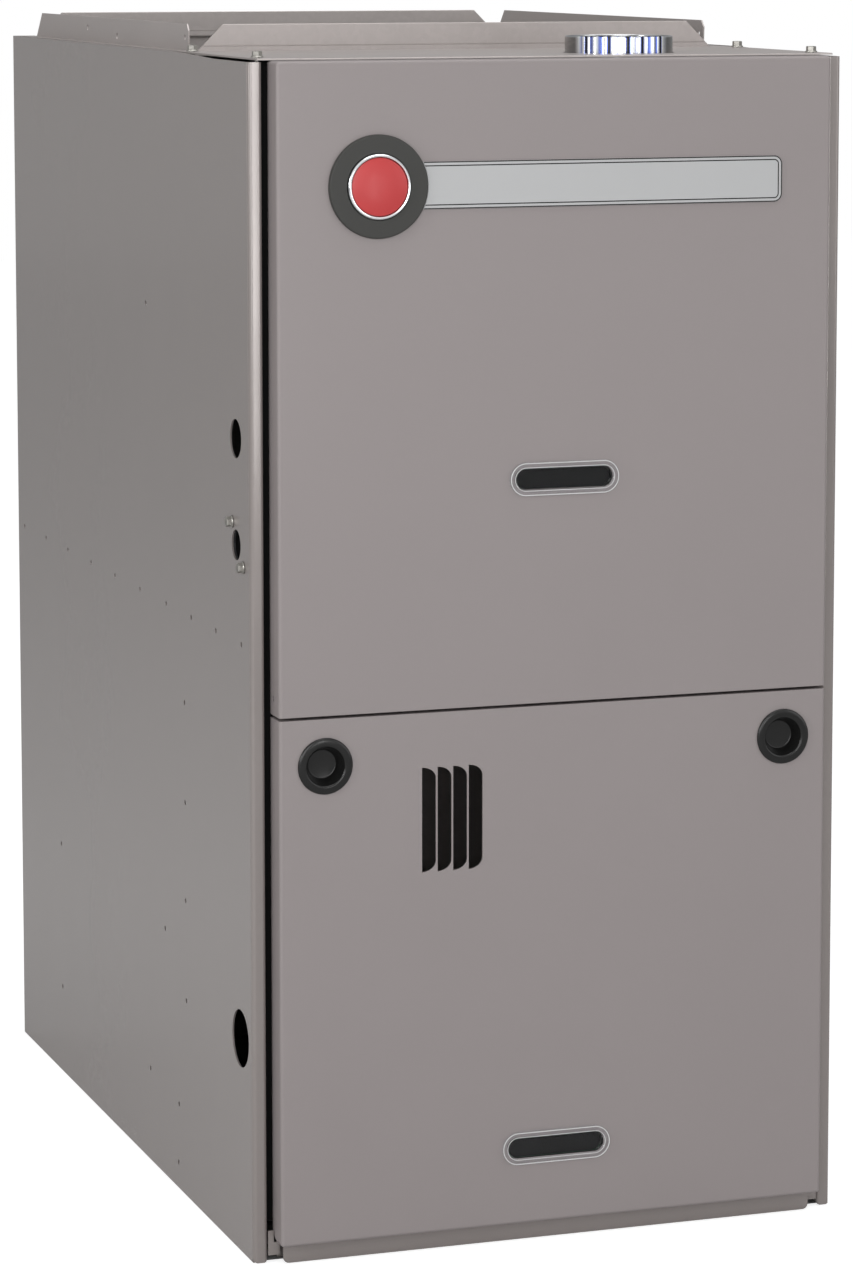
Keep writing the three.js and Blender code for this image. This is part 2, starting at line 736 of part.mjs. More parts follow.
function ventConnector() {
  const wallY = (INDUCER.front + INDUCER.back) / 2;
  const start = INDUCER.neckTop + GAP;
  const end = CASE.height - VENT.drop - GAP;
  const route = [
    [VENT.x, wallY, start],
    [VENT.x, wallY, start + 10],
    [VENT.x, VENT.y, end - 10],
    [VENT.x, VENT.y, end],
  ];
  return pipe(route, { radius: INDUCER.neck + 3, wall: WALL, bend: 38, sides: 18, arcSteps: 2 });
}

// The short pipe that stands out of the top plate, its rim flat.
function ventCollar() {
  const { x, y, radius, rise, drop, wall } = VENT;
  const top = CASE.height + rise;
  const bottom = CASE.height - drop;
  const profile = [
    [radius - wall, bottom],
    [radius, bottom],
    [radius, top - 1],
    [radius - 0.2, top],
    [radius - wall, top],
    [radius - wall, bottom],
  ];
  return turned("z", [x, y], profile, 40);
}

// ---------------------------------------------------------------- burners and gas train

// The rack carries the burner mouths in its front wall and the manifold between its ears.
function burnerBox() {
  const { left, right, bottom, top, front, ear } = RACK;
  const back = VESTIBULE_Y - GAP;
  const hood = cut(
    block([left, right], [front, back], [bottom, top]),
    block([left + SHEET, right - SHEET], [front + SHEET, back + 1], [bottom + SHEET, top - SHEET]),
  );
  const earSpan = [BURNER.z - RACK.earHalf, BURNER.z + RACK.earHalf];
  const earPlate = (x) => block([x, x + SHEET], [ear, front + 1], earSpan);
  const mouth = (x) => rod("y", [x, BURNER.z], BURNER.mouth + GAP, front - 1, front + SHEET + 1, 16);
  const probeHole = (x) => rod("y", [x, PROBE_HOLES.z], PROBE_HOLES.radius, front - 1, front + SHEET + 1, 10);
  const pipeHole = rod("x", [GAS.y, BURNER.z], GAS.radius + GAP, left - 2, right + 2, 16);
  const holes = [...BURNER.xs.map(mouth), ...PROBE_HOLES.xs.map(probeHole)];
  return cut(join(hood, earPlate(left), earPlate(right - SHEET)), ...holes, pipeHole);
}

// An in-shot burner: a bell mouth, a throat and a wider flame end, open right through.
function burner(x) {
  const { mouth, throat, inlet, front, back } = BURNER;
  const wall = 1.4;
  const outer = [
    [inlet, front],
    [inlet, front + 8],
    [throat + wall, front + 30],
    [throat + wall, front + 50],
    [mouth, front + 88],
    [mouth, back],
  ];
  const inner = outer.map(([radius, y]) => [radius - wall, y]).reverse();
  return turned("y", [x, BURNER.z], [...outer, ...inner, outer[0]], 14);
}

// The manifold pipe with one orifice spud for each burner.
function gasManifold() {
  const bar = rod("x", [GAS.y, BURNER.z], GAS.radius, VALVE.right + GAP, GAS.end, 16);
  const spud = (x) => turned(
    "y",
    [x, BURNER.z],
    [[0, GAS.y], [7, GAS.y], [7, GAS.y + 12], [4, GAS.y + 14], [3, GAS.y + 21], [0, GAS.y + 21]],
    12,
  );
  return join(bar, ...BURNER.xs.map(spud));
}

function gasValve() {
  const { left, right, bottom, top, front, back } = VALVE;
  const x = (left + right) / 2;
  const body = prism(roundedRectangle([left, right], [bottom, top], 6), "y", front, back, 4);
  const solenoid = rod("z", [x - 8, (front + back) / 2], 16, top - 1, top + 26, 20);
  const inlet = rod("z", [x, (front + back) / 2], 13, bottom - 16, bottom + 1, 6);
  const bore = rod("z", [x, (front + back) / 2], 9, bottom - 17, bottom - 4, 12);
  const regulator = rod("y", [x + 14, top - 14], 7, front - 6, front + 1, 12);
  return cut(join(body, solenoid, inlet, regulator), bore);
}

// The valve's on-off knob: a fluted disc with a pointer bar.
function gasValveKnob() {
  const x = (VALVE.left + VALVE.right) / 2 - 8;
  const z = (VALVE.bottom + VALVE.top) / 2 - 8;
  const back = VALVE.front - GAP;
  const disc = rod("y", [x, z], 12, back - 8, back, 16);
  const pointer = block([x - 2.5, x + 2.5], [back - 14, back - 7], [z - 11, z + 13]);
  return join(disc, pointer);
}

function igniter() {
  const x = RACK.right - 12;
  const z = BURNER.z + 4;
  const body = rod("y", [x, z], 3.5, RACK.front - 22, RACK.front + 14, 10);
  const mount = block([x - 9, x + 9], [RACK.front - GAP - 2, RACK.front - GAP], [z - 8, z + 20]);
  const tip = block([x - 2.5, x + 2.5], [RACK.front + 13, RACK.front + 28], [z - 1, z + 1]);
  return join(body, mount, tip);
}

function flameSensor() {
  const x = RACK.left + 14;
  const z = BURNER.z + 4;
  const body = rod("y", [x, z], 3.5, RACK.front - 20, RACK.front + 6, 10);
  const mount = block([x - 7, x + 7], [RACK.front - GAP - 1.5, RACK.front - GAP], [z - 7, z + 14]);
  const wire = rod("y", [x, z], 1.2, RACK.front + 5, RACK.front + 28, 8);
  return join(body, mount, wire);
}

const ROLLOUT_Z = RACK.top - 12;
const rolloutX = (side) => (side < 0 ? BURNER.xs[0] + 37.5 : BURNER.xs[1] + 37.5);

// A manual-reset limit: a round body on two ears, with a well for its button.
function rolloutSwitch(side) {
  const x = rolloutX(side);
  const back = RACK.front - GAP;
  const ears = block([x - 14, x + 14], [back - 1, back], [ROLLOUT_Z - 5, ROLLOUT_Z + 5]);
  const body = rod("y", [x, ROLLOUT_Z], 9, back - 11, back - 0.5, 16);
  const well = rod("y", [x, ROLLOUT_Z], 3.4, back - 12, back - 6, 12);
  return cut(join(ears, body), well);
}

function rolloutReset(side) {
  const front = RACK.front - GAP - 11;
  return rod("y", [rolloutX(side), ROLLOUT_Z], 3, front - 3.5, front + 1.6, 12);
}

const LIMIT = { x: -168, z: 640 };

function limitSwitch() {
  const { x, z } = LIMIT;
  const back = VESTIBULE_Y - GAP;
  const base = prism(roundedRectangle([x - 22, x + 22], [z - 12, z + 12], 4), "y", back - 2, back, 3);
  const body = rod("y", [x, z], 9, back - 16, back - 1, 16);
  const tab = (offset) => block([x + offset - 3, x + offset + 3], [back - 24, back - 15], [z - 0.5, z + 0.5]);
  return join(base, body, tab(-4.5), tab(4.5));
}

const PRESSURE = { x: 176, z: 700, radius: 29, thick: 24, nozzle: 3.2 };

function pressureSwitch() {
  const { x, z, radius, thick, nozzle } = PRESSURE;
  const back = VESTIBULE_Y - GAP;
  const profile = [
    [0, back - thick],
    [radius - 12, back - thick],
    [radius - 9, back - thick + 6],
    [radius, back - thick + 8],
    [radius, back - 6],
    [radius - 6, back],
    [0, back],
  ];
  const can = turned("y", [x, z], profile, 24);
  const stub = rod("y", [x, z], nozzle, back - thick - 12, back - thick + 1, 10);
  return join(can, stub);
}

// The rubber hose from the switch's nozzle to the inducer's tap.
function pressureHose() {
  const { x, z, thick } = PRESSURE;
  const start = VESTIBULE_Y - GAP - thick - 12 - GAP;
  const tapX = INDUCER.x + INDUCER.radius + GAP;
  const tapZ = INDUCER.z - 6;
  const tapY = (INDUCER.front + INDUCER.back) / 2 + 12;
  const route = [
    [x, start, z],
    [x, start - 30, z],
    [x, start - 30, z - 60],
    [tapX + 22, tapY, z - 60],
    [tapX + 22, tapY, tapZ],
    [tapX, tapY, tapZ],
  ];
  return pipe(route, { radius: 3.6, wall: 1.2, bend: 11, sides: 6, arcSteps: 3 });
}

const JUNCTION = { ahead: 22, behind: 24, halfHeight: 27, reach: 36 };

// The field wiring box inside the left panel, open at its inner side, with a knockout that meets the panel's.
function junctionBox() {
  const { y, z, radius } = SIDE_HOLES[1];
  const { ahead, behind, halfHeight, reach } = JUNCTION;
  const outer = -(CASE.halfWidth - SHEET - GAP);
  const [front, back] = [y - ahead, y + behind];
  const [bottom, top] = [z - halfHeight, z + halfHeight];
  return cut(
    block([outer, outer + reach], [front, back], [bottom, top]),
    block([outer + SHEET, outer + reach + 1], [front + SHEET, back - SHEET], [bottom + SHEET, top - SHEET]),
    rod("x", [y, z], radius, outer - 1, outer + SHEET + 1, 16),
  );
}

// ---------------------------------------------------------------- circulation blower

function blowerHousing() {
  const neckTop = DECK.z - SHEET / 2 - GAP;
  const shell = prism(scrollOutline(0, neckTop), "x", -BLOWER.half, BLOWER.half);
  const hollow = prism(scrollOutline(WALL, neckTop + 5), "x", -BLOWER.half + WALL, BLOWER.half - WALL);
  const inlet = (x) => rod("x", [BLOWER.y, BLOWER.z], 103, x - 3, x + 3, 32);
  return cut(shell, hollow, inlet(-BLOWER.half), inlet(BLOWER.half));
}

// A double-inlet squirrel cage: centre disc, hub, shaft, curved vanes and three rings.
function blowerWheel() {
  const { y, z, wheel, wheelHalf } = BLOWER;
  const vanes = 24;
  const inner = wheel - 24;
  const disc = rod("x", [y, z], wheel - 4, -1.5, 1.5, 32);
  const hub = rod("x", [y, z], 16, -10, 14, 16);
  const shaft = rod("x", [y, z], 6.35, MOTOR.to - 10, 40, 12);
  const ring = (x) => {
    const shape = new THREE.Shape().absarc(y, z, wheel, 0, 2 * Math.PI);
    shape.holes.push(new THREE.Path().absarc(y, z, inner, 0, 2 * Math.PI));
    return prism(shape, "x", x - 1.5, x + 1.5, 15);
  };
  const vane = (index) => {
    const blade = block([-wheelHalf + 1, wheelHalf - 1], [inner + 1, wheel - 1.5], [-0.7, 0.7]);
    return blade.rotateX((index * 2 * Math.PI) / vanes).translate(0, y, z);
  };
  const blades = Array.from({ length: vanes }, (_, index) => vane(index));
  return join(disc, hub, shaft, ring(-wheelHalf), ring(wheelHalf), ...blades);
}

function blowerMotor() {
  const { radius, from, to, boss, shaftHole, shaftDepth } = MOTOR;
  const profile = [
    [0, from],
    [boss, from],
    [boss + 6, from + 6],
    [radius - 4, from + 10],
    [radius, from + 16],
    [radius, to - 14],
    [radius - 4, to - 8],
    [boss + 4, to - 4],
    [boss - 2, to],
    [shaftHole, to],
    [shaftHole, to - shaftDepth],
    [0, to - shaftDepth],
  ];
  return turned("x", [BLOWER.y, BLOWER.z], profile, 24);
}

// A band round the motor with three arms that reach out to the housing's inlet edge.
function motorMount() {
  const { y, z } = BLOWER;
  const inner = MOTOR.radius + GAP;
  const plane = -BLOWER.half - GAP;
  const bandShape = new THREE.Shape().absarc(y, z, inner + 2, 0, 2 * Math.PI);
  bandShape.holes.push(new THREE.Path().absarc(y, z, inner, 0, 2 * Math.PI));
  const band = prism(bandShape, "x", plane - 16, plane - 1, 16);
  const arm = (index) => {
    const bar = block([plane - 4, plane], [inner + 1, 122], [-7, 7]);
    return bar.rotateX(Math.PI / 2 + (index * 2 * Math.PI) / 3).translate(0, y, z);
  };
  return join(band, arm(0), arm(1), arm(2));
}

// ---------------------------------------------------------------- controls in the blower compartment

// The upright tray behind the front rail that carries the controls.
function controlPanel() {
  const middle = PANEL.front + SHEET / 2;
  const half = PANEL.half;
  const profile = foldedSheet([[-half, middle + 16], [-half, middle], [half, middle], [half, middle + 16]]);
  return prism(profile, "z", 0, PANEL.top);
}

const BOARD = { left: -118, right: 42, bottom: 52, top: 168, thick: 1.6, lift: 6, margin: 8 };
const RELAY = { xs: [-104, -76, -48, -20], width: 20, bottom: 120, top: 148, tall: 14 };

// The integrated control: a board on the tray with its relays, connector, fuse, chip and status light.
function controlBoard() {
  const { left, right, bottom, top, thick, lift, margin } = BOARD;
  const back = PANEL.front - GAP;
  const face = back - lift;
  const plate = block([left, right], [face, face + thick], [bottom, top]);
  const part = (x, z, tall) => block(x, [face - tall, face + thick / 2], z);
  const relays = RELAY.xs.map((x) => part([x, x + RELAY.width], [RELAY.bottom, RELAY.top], RELAY.tall));
  const connector = part([-100, -40], [62, 74], 10);
  const fuse = part([-20, 10], [92, 99], 7);
  const chip = part([-82, -52], [88, 100], 3);
  const light = rod("y", [WINDOW.centres[1], WINDOW_Z[1]], 2.5, face - 6, face + thick / 2, 10);
  const post = (x, z) => rod("y", [x, z], 3, face + thick / 2, back, 8);
  const columns = [left + margin, right - margin];
  const posts = columns.flatMap((x) => [post(x, bottom + margin), post(x, top - margin)]);
  return join(plate, ...relays, connector, fuse, chip, light, ...posts);
}

const TRANSFORMER = {
  x: 99,
  z: 124,
  core: [29, 24],
  winding: [19, 18],
  foot: 39,
  depth: 34,
  windingDepth: 46,
};

// A laminated core with its winding, on a foot plate behind the tray.
function transformer() {
  const { x, z, core, winding, foot, depth, windingDepth } = TRANSFORMER;
  const front = PANEL.front + SHEET + GAP;
  const centred = (halfX, halfZ, from, to) =>
    block([x - halfX, x + halfX], [from, to], [z - halfZ, z + halfZ]);
  return join(
    centred(core[0], core[1], front, front + depth),
    centred(winding[0], winding[1], front + 2, front + windingDepth),
    centred(foot, winding[1], front, front + 2),
  );
}

const CAPACITOR = { z: 60, radius: 20, from: 40, to: 128, strap: [76, 92], strapHalf: 24 };

// The blower's run capacitor: a can held by a strap, with two tab terminals.
function runCapacitor() {
  const { z, radius, from, to, strap, strapHalf } = CAPACITOR;
  const front = PANEL.front + SHEET + GAP;
  const middle = front + radius + 3;
  const can = rod("x", [middle, z], radius, from, to, 20);
  const band = block(strap, [front, middle + 1], [z - strapHalf, z + strapHalf]);
  const terminal = (offset) =>
    block([to - 1, to + 8], [middle - 3, middle + 3], [z + offset - 0.6, z + offset + 0.6]);
  return join(can, band, terminal(-6), terminal(6));
}

function doorSwitch() {
  const front = DECK.front + SHEET + GAP;
  const { x, z, plunger } = SWITCH;
  const body = block([x - 14, x + 14], [front, front + 26], [z - 10, z + 10]);
  const tab = (offset) => block([x + offset - 3, x + offset + 3], [front + 25, front + 33], [z - 0.5, z + 0.5]);
  const well = rod("y", [x, z], plunger + 0.4, front - 1, front + 12, 12);
  return cut(join(body, tab(-7), tab(7)), well);
}

// The plunger, pressed in by the closed lower door.
function doorSwitchPlunger() {
  const front = DOOR_BACK + GAP;
  return rod("y", [SWITCH.x, SWITCH.z], SWITCH.plunger, front, DECK.front + SHEET + 8, 12);
}

// ---------------------------------------------------------------- fasteners

const SCREW = { washer: 4.5, head: 3.7, washerThick: 1, headThick: 3.4, shank: 1.9, reach: 9 };

// A hex washer-head screw whose head stands out along an axis from `seat`; `sense` is +1 or -1.
function screw(axis, centre, seat, sense) {
  const span = (a, b) => [seat + sense * a, seat + sense * b].sort((low, high) => low - high);
  const { washer, head, washerThick, headThick, shank, reach } = SCREW;
  const flange = rod(axis, centre, washer, ...span(GAP, GAP + washerThick), 16);
  const hex = rod(axis, centre, head, ...span(GAP + washerThick / 2, GAP + washerThick + headThick), 6);
  const stem = rod(axis, centre, shank, ...span(-reach, GAP + 0.5), 6);
  return join(flange, hex, stem);
}

const SIDE_SCREWS = [
  { name: "side_screw_rear", y: -292, z: 530.5 },
  { name: "side_screw_front", y: -319.5, z: 501 },
];
const TOP_SCREWS = [
  { name: "top_screw_front_left", x: -212, y: -318 },
  { name: "top_screw_mid_left", x: -212, y: -152 },
  { name: "top_screw_mid_right", x: 212, y: -174 },
  { name: "top_screw_front_right", x: 206, y: -326 },
];

// A clearance hole through the sheets for each screw.
const screwHole = (axis, centre, from, to) => rod(axis, centre, SCREW.shank + GAP, from, to, 8);

function withTopScrewHoles(geometry) {
  const holes = TOP_SCREWS.map(({ x, y }) => screwHole("z", [x, y], CASE.height - 8, CASE.height + 2));
  return cut(geometry, ...holes);
}

function withSideScrewHoles(geometry) {
  const outside = -CASE.halfWidth;
  const holes = SIDE_SCREWS.map(({ y, z }) => screwHole("x", [y, z], outside - 2, outside + 8));
  return cut(geometry, ...holes);
}

// ---------------------------------------------------------------- the whole furnace

function addCasing() {
  add("left_side_panel", withTopScrewHoles(withSideScrewHoles(leftSidePanel())), FINISH.paint());
  add("right_side_panel", withTopScrewHoles(sidePanel(1)), FINISH.paint());
  add("back_panel", backPanel(), FINISH.galvanised());
  add("top_plate", withTopScrewHoles(topPlate()), FINISH.galvanised());
  add("blower_deck", blowerDeck(), FINISH.galvanised());
  add("vestibule_panel", vestibulePanel(), FINISH.aluminised());
  add("base_front_rail", baseFrontRail(), FINISH.paint());
  add("base_rear_rail", baseRearRail(), FINISH.galvanised());
}

function addDoors() {
  add("upper_door", upperDoor(), FINISH.doorPaint());
  add("lower_door", lowerDoor(), FINISH.doorPaint());
  add("upper_sight_window", sightWindow(0), FINISH.clear());
  add("lower_sight_window", sightWindow(1), FINISH.clear());
  add("left_finger_cup", fingerCup(-CUP.x), FINISH.blackPlastic());
  add("right_finger_cup", fingerCup(CUP.x), FINISH.blackPlastic());
  add("emblem_ring", emblemRing(), FINISH.ringGrey());
  add("emblem_rim", emblemRim(), FINISH.brightSteel());
  add("emblem_disc", emblemDisc(), FINISH.red());
  add("nameplate", nameplate(), FINISH.silver());
}

function addHeatSection() {
  BURNER.xs.forEach((x, index) => add(`heat_tube_${index + 1}`, heatTube(x), FINISH.aluminised()));
  add("collector_box", collectorBox(), FINISH.aluminised());
  add("inducer_housing", inducerHousing(), FINISH.darkPaint());
  add("inducer_wheel", inducerWheel(), FINISH.aluminised());
  add("inducer_motor", inducerMotor(), FINISH.darkPaint());
  add("vent_connector", ventConnector(), FINISH.galvanised());
  add("vent_collar", ventCollar(), FINISH.brightSteel());
}

function addGasTrain() {
  add("burner_box", burnerBox(), FINISH.aluminised());
  BURNER.xs.forEach((x, index) => add(`burner_${index + 1}`, burner(x), FINISH.aluminised()));
  add("gas_manifold", gasManifold(), FINISH.darkPaint());
  add("gas_valve", gasValve(), FINISH.castAluminium());
  add("gas_valve_knob", gasValveKnob(), FINISH.blackPlastic());
  add("igniter", igniter(), FINISH.ceramic());
  add("flame_sensor", flameSensor(), FINISH.ceramic());
  add("rollout_switch_left", rolloutSwitch(-1), FINISH.blackPlastic());
  add("rollout_switch_right", rolloutSwitch(1), FINISH.blackPlastic());
  add("rollout_reset_left", rolloutReset(-1), FINISH.redButton());
  add("rollout_reset_right", rolloutReset(1), FINISH.redButton());
  add("limit_switch", limitSwitch(), FINISH.blackPlastic());
  add("pressure_switch", pressureSwitch(), FINISH.zinc());
  add("pressure_hose", pressureHose(), FINISH.rubber());
  add("junction_box", withSideScrewHoles(junctionBox()), FINISH.darkPaint());
}

function addBlower() {
  add("blower_housing", blowerHousing(), FINISH.galvanised());
  add("blower_wheel", blowerWheel(), FINISH.zinc());
  add("blower_motor", blowerMotor(), FINISH.darkPaint());
  add("motor_mount", motorMount(), FINISH.zinc());
}

function addControls() {
  add("control_panel", controlPanel(), FINISH.galvanised());
  add("control_board", controlBoard(), FINISH.board());
  add("transformer", transformer(), FINISH.darkPaint());
  add("run_capacitor", runCapacitor(), FINISH.zinc());
  add("door_switch", doorSwitch(), FINISH.blackPlastic());
  add("door_switch_plunger", doorSwitchPlunger(), FINISH.redButton());
}

function addFasteners() {
  SIDE_SCREWS.forEach(({ name, y, z }) => add(name, screw("x", [y, z], -CASE.halfWidth, -1), FINISH.zinc()));
  const seat = CASE.height - GAP / 3;
  TOP_SCREWS.forEach(({ name, x, y }) => add(name, screw("z", [x, y], seat, 1), FINISH.zinc()));
}

addCasing();
addDoors();
addHeatSection();
addGasTrain();
addBlower();
addControls();
addFasteners();

export default furnace;
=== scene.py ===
"""Looks of a forced air gas furnace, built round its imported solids.

Sizes are millimetres in the model's own frame: X runs across the front, +Z is up, the doors
face -Y and the origin is on the floor. A mesh is scaled to metres when its piece is finished.
"""

import json
import logging
import math
from dataclasses import dataclass
from enum import Enum

import bmesh
import bpy
from bmesh.types import BMEdge, BMesh, BMFace, BMVert
from bpy.types import Material, Node, NodeSocket, NodeTree, Object
from mathutils import Matrix, Vector


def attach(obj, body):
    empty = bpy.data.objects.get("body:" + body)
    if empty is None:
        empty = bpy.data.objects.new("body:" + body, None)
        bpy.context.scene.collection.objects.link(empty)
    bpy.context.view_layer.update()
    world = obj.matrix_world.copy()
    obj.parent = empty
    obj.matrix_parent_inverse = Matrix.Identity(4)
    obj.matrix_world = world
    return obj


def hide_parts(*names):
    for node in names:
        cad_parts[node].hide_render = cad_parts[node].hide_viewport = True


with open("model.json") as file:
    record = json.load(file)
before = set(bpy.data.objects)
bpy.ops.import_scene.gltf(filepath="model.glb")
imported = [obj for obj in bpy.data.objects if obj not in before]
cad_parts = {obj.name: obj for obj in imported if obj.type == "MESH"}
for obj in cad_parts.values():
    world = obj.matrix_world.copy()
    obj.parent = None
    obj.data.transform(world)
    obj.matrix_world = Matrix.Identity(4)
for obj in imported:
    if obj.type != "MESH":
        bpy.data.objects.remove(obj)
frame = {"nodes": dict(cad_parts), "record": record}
log = logging.getLogger("furnace")

MM = 0.001
FULL_TURN = 2 * math.pi
WELD = 1e-4  # vertices nearer than this become one
NEAR = 0.01  # levels nearer than this count as the same
SQUARE_ON = 0.99  # cosine above which a face looks straight along a direction
SCREW_HOLE = 2.2
SCREW_HOLE_SIDES = 12
AHEAD = Vector((0, -1, 0))
Point2 = tuple[float, float]
Point3 = tuple[float, float, float]
Colour = tuple[float, float, float]
Inputs = dict[str | int, object]

# ------------------------------------------------------------------------------ axes


class Axis(Enum):
    """A direction of the model's frame along which a piece is turned or pushed out."""

    X = "x"
    Y = "y"
    Z = "z"

    @property
    def direction(self) -> Vector:
        """Unit vector along the axis."""
        return Vector([float(axis is self) for axis in Axis])

    @property
    def radial(self) -> Vector:
        """Unit vector square to the axis, from which a turned profile starts."""
        return Vector((0, 1, 0)) if self is Axis.X else Vector((1, 0, 0))

    def place(self, u: float, v: float, along: float) -> Vector:
        """Point with drawing coordinates u and v at a distance along the axis.

        Args:
            u: Y for the X axis, otherwise X.
            v: Z for the X and Y axes, otherwise Y.
            along: Coordinate on the axis itself.

        Returns:
            The point in the model's frame.
        """
        if self is Axis.X:
            return Vector((along, u, v))
        if self is Axis.Y:
            return Vector((u, along, v))
        return Vector((u, v, along))

    def matrix(self, u: float, v: float, along: float) -> Matrix:
        """Placement that lays a flat drawing square to the axis.

        Args:
            u: First drawing coordinate of the drawing's origin.
            v: Second drawing coordinate of the drawing's origin.
            along: Coordinate of the drawing on the axis.

        Returns:
            A matrix whose local x and y run along u and v.
        """
        origin = self.place(0, 0, 0)
        first = self.place(1, 0, 0) - origin
        second = self.place(0, 1, 0) - origin
        basis = Matrix((first, second, first.cross(second))).transposed().to_4x4()
        return Matrix.Translation(self.place(u, v, along)) @ basis


# ------------------------------------------------------------------------------ mesh helpers


def of_kind(parts: list, kind: type) -> list:
    """Gives the parts of a mesh that are of one kind."""
    return [part for part in parts if isinstance(part, kind)]


def edges_of(parts: list) -> list[BMEdge]:
    """Gives every edge of some faces, each once."""
    return list({edge for part in parts for edge in part.edges})


def verts_of(parts: list) -> list[BMVert]:
    """Gives every vertex of some faces or edges, each once."""
    return list({vert for part in parts for vert in part.verts})


def edges_at(verts: list[BMVert]) -> list[BMEdge]:
    """Gives every edge that meets some vertices, each once."""
    return list({edge for vert in verts for edge in vert.link_edges})


def polyline(bm: BMesh, points: list[Vector], closed: bool = False) -> list[BMEdge]:
    """Adds vertices joined by edges.

    Args:
        bm: Mesh that takes them.
        points: Places of the vertices.
        closed: Joins the last vertex to the first.

    Returns:
        The new edges.
    """
    verts = [bm.verts.new(point) for point in points]
    pairs = list(zip(verts, verts[1:]))
    if closed:
        pairs.append((verts[-1], verts[0]))
    return [bm.edges.new(pair) for pair in pairs]


def circle(
    bm: BMesh, axis: Axis, centre: Point2, along: float, radius: float, sides: int
) -> list[BMEdge]:
    """Adds a circle of edges square to an axis.

    Args:
        bm: Mesh that takes it.
        axis: Axis of the circle.
        centre: Its centre in the drawing plane.
        along: Its place on the axis.
        radius: Its radius.
        sides: Number of edges.

    Returns:
        The circle's edges.
    """
    matrix = axis.matrix(*centre, along)
    made = bmesh.ops.create_circle(bm, segments=sides, radius=radius, matrix=matrix)
    return edges_at(made["verts"])


def obround(
    bm: BMesh,
    axis: Axis,
    centre: Point2,
    along: float,
    length: float,
    height: float,
    sides: int = 32,
) -> list[BMEdge]:
    """Adds the outline of a slot with half-round ends, its length along the first drawing axis.

    Args:
        bm: Mesh that takes it.
        axis: Axis square to the outline.
        centre: Middle of the slot in the drawing plane.
        along: Place on the axis.
        length: Overall length.
        height: Overall height.
        sides: Edges in the two round ends together.

    Returns:
        The outline's edges.
    """
    radius = height / 2
    matrix = axis.matrix(*centre, along) @ Matrix.Rotation(math.pi / sides, 4, "Z")
    ring = bmesh.ops.create_circle(bm, segments=sides, radius=radius, matrix=matrix)["verts"]
    first = axis.matrix(0, 0, 0).col[0].to_3d()
    middle = axis.place(*centre, along)
    for side in (-1, 1):
        verts = [vert for vert in ring if (vert.co - middle).dot(first) * side > 0]
        bmesh.ops.translate(bm, verts=verts, vec=first * side * (length / 2 - radius))
    return edges_at(ring)


def fill(bm: BMesh, edges: list[BMEdge], facing: Vector) -> list[BMFace]:
    """Fills the area between an outline and the holes in it.

    Args:
        bm: Mesh that holds the edges.
        edges: Edges of the outline and of every hole.
        facing: Direction in which the new faces look.

    Returns:
        The new faces.
    """
    made = bmesh.ops.triangle_fill(bm, use_beauty=True, use_dissolve=False, edges=edges)
    faces = of_kind(made["geom"], BMFace)
    bm.normal_update()
    turned_away = [face for face in faces if face.normal.dot(facing) < 0]
    bmesh.ops.reverse_faces(bm, faces=turned_away)
    bm.normal_update()
    return faces


def cap(bm: BMesh, edges: list[BMEdge], facing: Vector) -> list[BMFace]:
    """Closes an outline with one face.

    Args:
        bm: Mesh that holds the edges.
        edges: The outline.
        facing: Direction in which the face looks.

    Returns:
        The face, in a list.
    """
    faces = bmesh.ops.contextual_create(bm, geom=edges)["faces"]
    bm.normal_update()
    if faces[0].normal.dot(facing) < 0:
        bmesh.ops.reverse_faces(bm, faces=faces)
    return faces


def open_largest(bm: BMesh, facing: Vector) -> list[BMEdge]:
    """Takes out the largest face that looks one way, so that it can be filled round holes.

    Args:
        bm: Mesh to look through.
        facing: The way it looks.

    Returns:
        The edges that bounded it.
    """
    bm.normal_update()
    flat = [face for face in bm.faces if face.normal.dot(facing) > SQUARE_ON]
    largest = max(flat, key=lambda face: face.calc_area())
    edges = list(largest.edges)
    bmesh.ops.delete(bm, geom=[largest], context="FACES_ONLY")
    return edges


def face_way(bm: BMesh, faces: list[BMFace], sample: BMFace, way: Vector) -> None:
    """Makes the faces of a sheet look the same way all along.

    Args:
        bm: Mesh that holds the sheet.
        faces: Its faces.
        sample: The face that sets the way.
        way: Direction in which the sample has to look.
    """
    bmesh.ops.recalc_face_normals(bm, faces=faces)
    bm.normal_update()
    if sample.normal.dot(way) < 0:
        bmesh.ops.reverse_faces(bm, faces=faces)


def slice_through(
    bm: BMesh, faces: list[BMFace], point: Vector, normal: Vector, drop: bool = True
) -> list[BMEdge]:
    """Cuts faces along a plane.

    Args:
        bm: Mesh that holds the faces.
        faces: The faces to cut.
        point: A point on the plane.
        normal: Direction square to the plane.
        drop: Deletes what is beyond the plane, on the normal's side.

    Returns:
        The edges that lie on the plane.
    """
    cut = bmesh.ops.bisect_plane(
        bm,
        geom=[*faces, *edges_of(faces), *verts_of(faces)],
        dist=WELD,
        plane_co=point,
        plane_no=normal,
        clear_outer=drop,
    )
    return of_kind(cut["geom_cut"], BMEdge)


def thicken(bm: BMesh, thickness: float, faces: list[BMFace] | None = None) -> None:
    """Gives a sheet its thickness, behind the faces that look outwards.

    Args:
        bm: Mesh that holds the sheet.
        thickness: Wall thickness.
        faces: Faces of the sheet; all of them if left out.
    """
    bm.normal_update()
    bmesh.ops.solidify(bm, geom=faces or bm.faces[:], thickness=thickness)


def push(bm: BMesh, faces: list[BMFace], offset: Vector) -> list[BMFace]:
    """Extrudes faces as one region and moves the new end.

    Args:
        bm: Mesh that holds the faces.
        faces: Faces to push out.
        offset: Way and distance.

    Returns:
        The faces at the moved end.
    """
    made = bmesh.ops.extrude_face_region(bm, geom=faces)["geom"]
    bmesh.ops.translate(bm, verts=of_kind(made, BMVert), vec=offset)
    return of_kind(made, BMFace)


